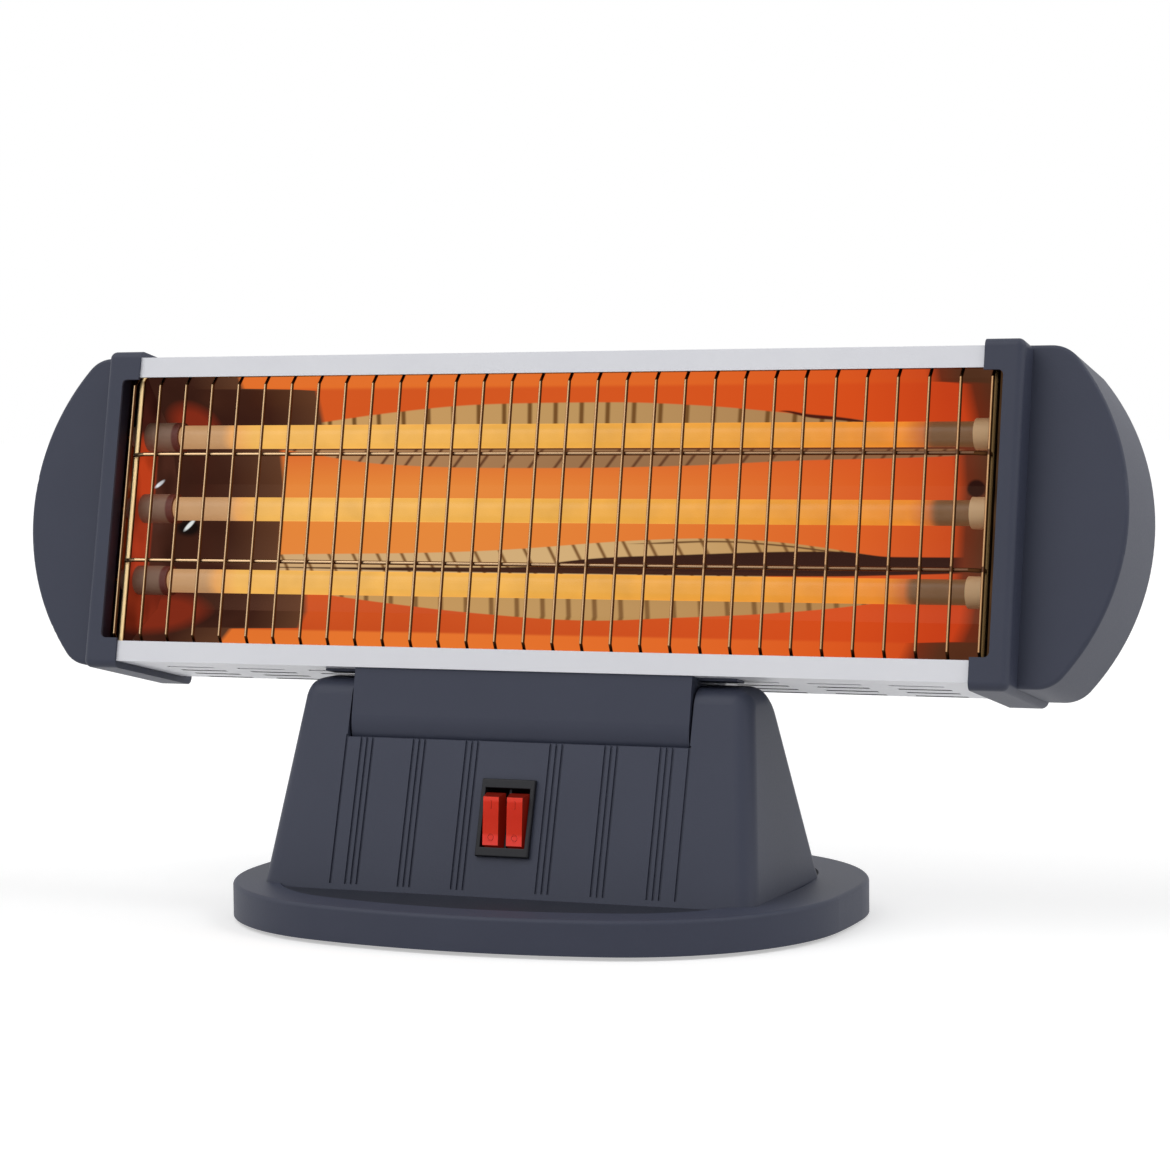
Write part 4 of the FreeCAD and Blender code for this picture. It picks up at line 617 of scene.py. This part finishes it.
# Start and end of the wound length, in mm from the middle.
for level, start, end in (
    ("upper", -142.0, 154.0),
    ("middle", -137.0, 158.0),
    ("lower", -144.0, 150.0),
):
    milky_quartz, tree = new_material(f"milky_fused_quartz_{level}")
    place = add(tree, "ShaderNodeTexCoord").outputs["Object"]
    spot = add(tree, "ShaderNodeSeparateXYZ", {"Vector": place})
    u_place = add(tree, "ShaderNodeMapRange", {
        "Value": spot.outputs["X"], "From Min": tube_low.x, "From Max": tube_high.x,
    }).outputs["Result"]
    # Colour and strength of the glow, from left to right; the weak strength at the cold ends is a
    # painted glow.
    heat_places = (
        (start - 3, "#d0a070", 0.66), (start + 2, "#f2ac60", 0.9), (start + 12, "#f3b95c", 1.0),
        (0.0, "#ebad4a", 1.0), (80.0, "#eba13c", 1.0), (end - 11, "#e88a2c", 1.0),
        (end - 3, "#d07034", 0.8), (end, "#80603e", 0.36),
    )
    heat = add(tree, "ShaderNodeValToRGB", {"Fac": u_place}, stops=[
        ((u * MM - tube_low.x) / (tube_high.x - tube_low.x), code, strength)
        for u, code, strength in heat_places
    ])
    cold = add(tree, "ShaderNodeValToRGB", {"Fac": u_place},
               stops=((0.3, "#d2a678"), (0.7, "#845c3e")))
    bubbles = add(tree, "ShaderNodeTexNoise", {
        "Vector": place, "Scale": 1 / (bubble_size * MM), "Detail": 2.0,
    })
    flicker = add(tree, "ShaderNodeMapRange", {
        "Value": bubbles.outputs["Fac"], "To Min": flicker_low, "To Max": flicker_high,
    })
    power = add(tree, "ShaderNodeMath", {
        "Value": heat.outputs["Alpha"], "Value_001": flicker.outputs["Result"],
    }, operation="MULTIPLY")
    body = add(tree, "ShaderNodeMix", {
        "Factor_Float": heat.outputs["Alpha"],
        "A_Color": cold.outputs["Color"],
        "B_Color": linear("#3a2c20"),
    }, data_type="RGBA")
    skin = add(tree, "ShaderNodeBsdfPrincipled", {
        "Base Color": body.outputs[COLOUR_OUT],
        "Roughness": 0.35,
        "IOR": 1.46,
        "Specular IOR Level": 0.3,
        "Emission Color": heat.outputs["Color"],
        "Emission Strength": power.outputs["Value"],
    })
    add(tree, "ShaderNodeOutputMaterial", {"Surface": skin.outputs["BSDF"]})
    dress(milky_quartz, f"quartz_tube_{level}")

# Heating coils: resistance wire wound inside the tubes, with its leads out through the ceramics.
# Heat has oxidised it, and the thin dark oxide takes a dull orange cast from the glow.
levels = ("upper", "middle", "lower")
oxide_wire = grained("oxidised_resistance_wire", ("#5c4a42", "#6e5a50"),
                     roughness=0.5, grain=0.8, relief=0.02, Metallic=0.8,
                     **{"Emission Color": linear("#ff8a2c"), "Emission Strength": 0.4})
dress(oxide_wire, *(f"heating_coil_{level}" for level in levels))

# Ceramic ends: pressed steatite that holds tubes and leads apart, fired and left unglazed.
# It is matt and chalky. On the left it is darker, with a rust-red ring at the mouth, and on the
# right it is cream.
ring_width, ring_blur = 3.0, 0.4
for side, shades in (("left", ("#8e6c58", "#a07c64")), ("right", ("#dcb07e", "#eac292"))):
    steatite = grained(f"pressed_steatite_{side}", shades,
                       roughness=0.6, grain=1.0, relief=0.03, IOR=1.57)
    dress(steatite, *(f"ceramic_{level}_{side}" for level in levels))
    if side == "left":
        tree = steatite.node_tree
        mouth = head_box("ceramic_upper_left")[1].x
        place = add(tree, "ShaderNodeTexCoord").outputs["Object"]
        spot = add(tree, "ShaderNodeSeparateXYZ", {"Vector": place})
        rim = add(tree, "ShaderNodeMapRange", {
            "Value": spot.outputs["X"],
            "From Min": mouth - (ring_width + ring_blur) * MM,
            "From Max": mouth - (ring_width - ring_blur) * MM,
        })
        overlay(steatite, rim.outputs["Result"], linear("#6b2d1e"))

# End plates: aluminised sheet across both ends of the trough, folded and pierced for the ceramics.
# It is dark brown in patches, and carries a painted reflection of the tubes' glow, red at the front
# of the left one.
patch_size = 18.0
front_start, front_full = 0.42, 0.32  # shares of a plate's depth between rear and front colours
# Sheet's own shades, and painted reflected colours at the front and at the rear as (v, colour).
for side, shades, front_stops, rear_stops in (
    ("left", ("#2c1712", "#452418"),
     ((-50, "#3c1a14"), (-45, "#8a2e18"), (-33, "#8e3018"), (-22, "#b03a20"), (8, "#c2401c"),
      (28, "#c2401c"), (34, "#3a1a14")),
     ((-47, "#4a2218"), (-43, "#822c18"), (-31, "#762818"), (-25, "#48281e"))),
    ("right", ("#2a1c12", "#4a3220"),
     ((-30, "#4a3420"), (30, "#4a3420")),
     ((-30, "#48281e"), (30, "#48281e"))),
):
    tinted_sheet, tree = new_material(f"aluminised_steel_with_painted_glare_{side}")
    place = add(tree, "ShaderNodeTexCoord").outputs["Object"]
    local, spot = in_head(tree, place)
    plate_low, plate_high = head_box(f"tube_bracket_{side}")
    depth = plate_high.y - plate_low.y
    ahead = add(tree, "ShaderNodeMapRange", {
        "Value": spot["Y"],
        "From Min": plate_low.y + front_start * depth,
        "From Max": plate_low.y + front_full * depth,
    })
    v_place = add(tree, "ShaderNodeMapRange", {
        "Value": spot["Z"], "From Min": trough_low.z, "From Max": trough_high.z,
    })
    near, far = (add(tree, "ShaderNodeValToRGB", {"Fac": v_place.outputs["Result"]},
                     stops=[(across(v), code) for v, code in stops])
                 for stops in (front_stops, rear_stops))
    painted_glare = add(tree, "ShaderNodeMix", {
        "Factor_Float": ahead.outputs["Result"],
        "A_Color": far.outputs["Color"],
        "B_Color": near.outputs["Color"],
    }, data_type="RGBA").outputs[COLOUR_OUT]
    if side == "left":
        # A painted slanting white glint between the upper and the middle ceramic.
        painted_glare = painted_spot(
            tree, local, painted_glare,
            centre=(0.0, 8.2 * MM, trough_middle + 14.8 * MM), turn=(math.radians(30), 0.0, 0.0),
            halves=(1.0, 3.9 * MM, 0.8 * MM), soft=0.3, code="#eceef2")
    patches = add(tree, "ShaderNodeTexNoise", {
        "Vector": place, "Scale": 1 / (patch_size * MM), "Detail": 1.0,
    })
    tint = add(tree, "ShaderNodeMix", {
        "Factor_Float": patches.outputs["Fac"],
        "A_Color": linear(shades[0]),
        "B_Color": linear(shades[1]),
    }, data_type="RGBA")
    shine = add(tree, "ShaderNodeMapRange", {
        "Value": patches.outputs["Fac"],
        "From Min": 0.35,
        "From Max": 0.6,
        "To Min": 0.4,
        "To Max": 0.9,
    })
    # The painted glare glows from the sheet, more in some patches.
    skin = add(tree, "ShaderNodeBsdfPrincipled", {
        "Base Color": tint.outputs[COLOUR_OUT],
        "Metallic": 0.9,
        "Roughness": 0.4,
        "Emission Color": painted_glare,
        "Emission Strength": shine.outputs["Result"],
    })
    add(tree, "ShaderNodeOutputMaterial", {"Surface": skin.outputs["BSDF"]})
    dress(tinted_sheet, f"tube_bracket_{side}")

# Guard: drawn steel wires with cranked ends, welded to two cross bars and to a rod frame that sits
# behind the lips. Thin brass plating over drawn wire is a brownish gold with fine lengthwise lines.
# Faces towards the front left carry a painted highlight, more so to the left, and the sides stay
# brown.
highlight_side = head.to_3x3() @ Vector((-0.28, -0.96, 0))
bar_raise, bar_spacing = 1.1, 43.4
bar_outside, bar_inside = 1.2, 0.9
# Painted highlight colours on the left and on the right, and how squarely a face has to look
# forward.
for name, node, left, right, highlight_facing in (
    ("brass_plated_steel_wire", "grille", "#d8b68c", "#bc946a", (0.8, 0.92)),
    ("brass_plated_steel_rod", "grille_frame", "#ffe0a8", "#5e4a2e", (0.1, 0.4)),
):
    plated = grained(name, ("#462a16", "#54341c"), roughness=0.34, grain=0.6, relief=0.01,
                     stretch=(1, 1, 0.1), Metallic=1.0)
    tree = plated.node_tree
    texture = add(tree, "ShaderNodeTexCoord")
    spot = in_head(tree, texture.outputs["Object"])[1]
    towards = add(tree, "ShaderNodeVectorMath", {
        "Vector": texture.outputs["Normal"], "Vector_001": highlight_side,
    }, operation="DOT_PRODUCT")
    painted_highlight = add(tree, "ShaderNodeMapRange", {
        "Value": towards.outputs["Value"], "From Min": highlight_facing[0], "From Max": highlight_facing[1],
    })
    u_place = add(tree, "ShaderNodeMapRange", {
        "Value": spot["X"], "From Min": trough_low.x, "From Max": trough_high.x,
    }).outputs["Result"]
    tone = add(tree, "ShaderNodeMix", {
        "Factor_Float": u_place, "A_Color": linear(left), "B_Color": linear(right),
    }, data_type="RGBA").outputs[COLOUR_OUT]
    if node == "grille":
        # The cross bars carry the painted highlight too, fading to a painted brown shade on the
        # right.
        above = add(tree, "ShaderNodeMath", {
            "Value": spot["Z"],
            "Value_001": trough_middle + (bar_raise - bar_spacing / 2) * MM,
        }, operation="SUBTRACT")
        gap = add(tree, "ShaderNodeMath", {
            "Value": above.outputs["Value"], "Value_001": bar_spacing / 2 * MM,
        }, operation="PINGPONG")
        bar = add(tree, "ShaderNodeMapRange", {
            "Value": gap.outputs["Value"],
            "From Min": bar_outside * MM,
            "From Max": bar_inside * MM,
        })
        bar_shade = add(tree, "ShaderNodeMix", {
            "Factor_Float": u_place, "A_Color": linear(left), "B_Color": linear("#5e4232"),
        }, data_type="RGBA")
        tone = add(tree, "ShaderNodeMix", {
            "Factor_Float": bar.outputs["Result"],
            "A_Color": tone,
            "B_Color": bar_shade.outputs[COLOUR_OUT],
        }, data_type="RGBA").outputs[COLOUR_OUT]
    # Lay the painted highlight over the dark brown.
    overlay(plated, painted_highlight.outputs["Result"], tone)
    dress(plated, node)

# End caps: slate ABS mouldings, a square collar over the housing's end and a D-shaped cheek.
# Each is held by two screws in the back of its collar.
dress(slate_abs, "end_cap_left", "end_cap_right")


# Visible screws: pan heads with a cross recess, cold-formed in steel and zinc plated.
# Two hold each end cap from the back, and four hold the bottom plate from below.
def solids(node):
    """Corners of each separate solid of a CAD node."""
    cloud = bmesh.new()
    cloud.from_mesh(frame["nodes"][node].data)
    bmesh.ops.remove_doubles(cloud, verts=cloud.verts, dist=SAME_POINT)
    seen, groups = set(), []
    for first in cloud.verts:
        if first in seen:
            continue
        seen.add(first)
        stack, group = [first], []
        while stack:
            corner = stack.pop()
            group.append(corner.co.copy())
            for edge in corner.link_edges:
                other = edge.other_vert(corner)
                if other not in seen:
                    seen.add(other)
                    stack.append(other)
        groups.append(group)
    cloud.free()
    return groups


# Half section of a screw from the middle of its head to its tip, as (radius, height) in mm.
head_height, shank_length = 2.0, 12.0
screw_section = (
    (0, 0), (1.2, -0.03), (2.1, -0.2), (2.8, -0.6), (3.15, -1.2), (3.2, -1.7),
    (3.2, -head_height), (1.5, -head_height), (1.5, -12.6), (1.0, -13.8),
    (0, -head_height - shank_length),
)
screw_steps = 32
blank = bmesh.new()
line = [blank.verts.new((radius * MM, 0, height * MM)) for radius, height in screw_section]
path = [blank.edges.new(pair) for pair in zip(line, line[1:])]
bmesh.ops.spin(blank, geom=line + path, axis=(0, 0, 1), cent=(0, 0, 0), steps=screw_steps,
               angle=math.tau)
bmesh.ops.remove_doubles(blank, verts=blank.verts, dist=SAME_POINT)
bmesh.ops.recalc_face_normals(blank, faces=blank.faces)
screw_blank = put_in_scene("screw_blank", mesh_from(blank, "screw_blank"))
# The recess is cut by a tapered cross: its outline in mm, and its ends as (scale, height).
arm, half = 1.75, 0.36
cross = (
    (arm, half), (half, half), (half, arm), (-half, arm), (-half, half), (-arm, half),
    (-arm, -half), (-half, -half), (-half, -arm), (half, -arm), (half, -half), (arm, -half),
)
driver_ends = ((1.0, 0.3), (0.5, -1.3))
corners = [(x * scale * MM, y * scale * MM, z * MM) for scale, z in driver_ends for x, y in cross]
count = len(cross)
sides = [(k, (k + 1) % count, count + (k + 1) % count, count + k) for k in range(count)]
ends = [list(reversed(range(count))), list(range(count, 2 * count))]
driver_mesh = bpy.data.meshes.new("cross_driver")
driver_mesh.from_pydata(corners, [], ends + sides)
driver = put_in_scene("cross_driver", driver_mesh)
recess = screw_blank.modifiers.new("recess", "BOOLEAN")
recess.object = driver
recess.solver = "EXACT"
cut = screw_blank.evaluated_get(bpy.context.evaluated_depsgraph_get())
finished = bpy.data.meshes.new_from_object(cut)
for item in (screw_blank, driver):
    bpy.data.objects.remove(item)
# A screw goes where each solid is, with its shank as long as that solid.
for node, body, outwards in (
    ("cap_screws", "head", head.to_3x3() @ Vector((0, 1, 0))),
    ("bottom_screws", "base", Vector((0, 0, -1))),
):
    turn = outwards.to_track_quat("Z", "Y").to_matrix()
    heads = bmesh.new()
    for group in solids(node):
        axes = list(zip(*(turn.transposed() @ corner for corner in group)))
        low, high = (Vector(map(limit, axes)) for limit in (min, max))
        top = turn @ Vector(((low.x + high.x) / 2, (low.y + high.y) / 2, high.z))
        shank = (high.z - low.z - head_height * MM) / (shank_length * MM)
        before = len(heads.verts)
        heads.from_mesh(finished)
        fresh = list(heads.verts)[before:]
        for corner in fresh:
            under_head = corner.co.z + head_height * MM
            if under_head < 0:
                corner.co.z = under_head * shank - head_height * MM
        bmesh.ops.transform(heads, matrix=Matrix.Translation(top) @ turn.to_4x4(), verts=fresh)
    piece = put_in_scene(f"pan_head_{node}", mesh_from(heads, f"pan_head_{node}"))
    piece.data.materials.append(zinc_plate)
    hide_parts(node)
    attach(piece, body)


# Studio floor: a plain white card, large enough to fill the view, that keeps the object's shadow.
# It is white wherever the camera, metal or glass looks at it.
def looked_at(tree):
    """1 for rays of the camera and for mirrored or refracted ones, and 0 for the rest."""
    ray = add(tree, "ShaderNodeLightPath").outputs
    direct = add(tree, "ShaderNodeMath", {
        "Value": ray["Is Camera Ray"], "Value_001": ray["Is Glossy Ray"],
    }, operation="MAXIMUM")
    return add(tree, "ShaderNodeMath", {
        "Value": direct.outputs["Value"], "Value_001": ray["Is Transmission Ray"],
    }, operation="MAXIMUM").outputs["Value"]


floor_reach, floor_lift = 8.0, 0.45
floor_mesh = bpy.data.meshes.new("floor")
corners = [(x * floor_reach, y * floor_reach, 0) for x, y in square]
floor_mesh.from_pydata(corners, [], [(0, 1, 2, 3)])
floor = put_in_scene("floor", floor_mesh)
white_card, tree = new_material("white_card")
lift = add(tree, "ShaderNodeMath", {
    "Value": looked_at(tree), "Value_001": floor_lift,
}, operation="MULTIPLY")
matt = add(tree, "ShaderNodeBsdfDiffuse", {"Color": linear("#dcdcdc")})
shine = add(tree, "ShaderNodeEmission", {
    "Color": linear("#ffffff"), "Strength": lift.outputs["Value"],
})
both = add(tree, "ShaderNodeAddShader", {
    "Shader": matt.outputs["BSDF"], "Shader_001": shine.outputs["Emission"],
})
add(tree, "ShaderNodeOutputMaterial", {"Surface": both.outputs["Shader"]})
floor_mesh.materials.append(white_card)

# Studio light: a white sky that gives even light at half strength, and two wide soft lamps, one
# from the upper left in front and one from the right.
sky_light = 0.5
world = bpy.data.worlds.new("studio")
bpy.context.scene.world = world
world.use_nodes = True
tree = world.node_tree
tree.nodes.clear()
sky = add(tree, "ShaderNodeMapRange", {
    "Value": looked_at(tree), "To Min": sky_light, "To Max": 1.0,
})
sheet = add(tree, "ShaderNodeBackground", {
    "Color": linear("#ffffff"), "Strength": sky.outputs["Result"],
})
add(tree, "ShaderNodeOutputWorld", {"Surface": sheet.outputs["Background"]})
# Turn about each axis in degrees, strength, and spread in degrees.
for name, turn, strength, spread in (
    ("key_light", (42, 0, -35), 0.9, 50),
    ("side_light", (50, 0, 98), 0.8, 40),
):
    lamp = bpy.data.lights.new(name, "SUN")
    lamp.energy = strength
    lamp.angle = math.radians(spread)
    holder = put_in_scene(name, lamp)
    holder.rotation_euler = [math.radians(angle) for angle in turn]

# Camera: a long lens at the photo's place, a little above the floor and to the right.
# Its place and turn were fitted to straight edges and to the guard.
lens = bpy.data.cameras.new("camera")
lens.lens = 99.14
lens.sensor_width = 36.0
camera = put_in_scene("camera", lens)
camera.location = (0.48928, -1.15407, 0.21086)
camera.rotation_euler = [math.radians(angle) for angle in (86.24926, 0.68437, 22.23994)]
bpy.context.scene.camera = camera
bpy.context.scene.view_settings.view_transform = "Standard"
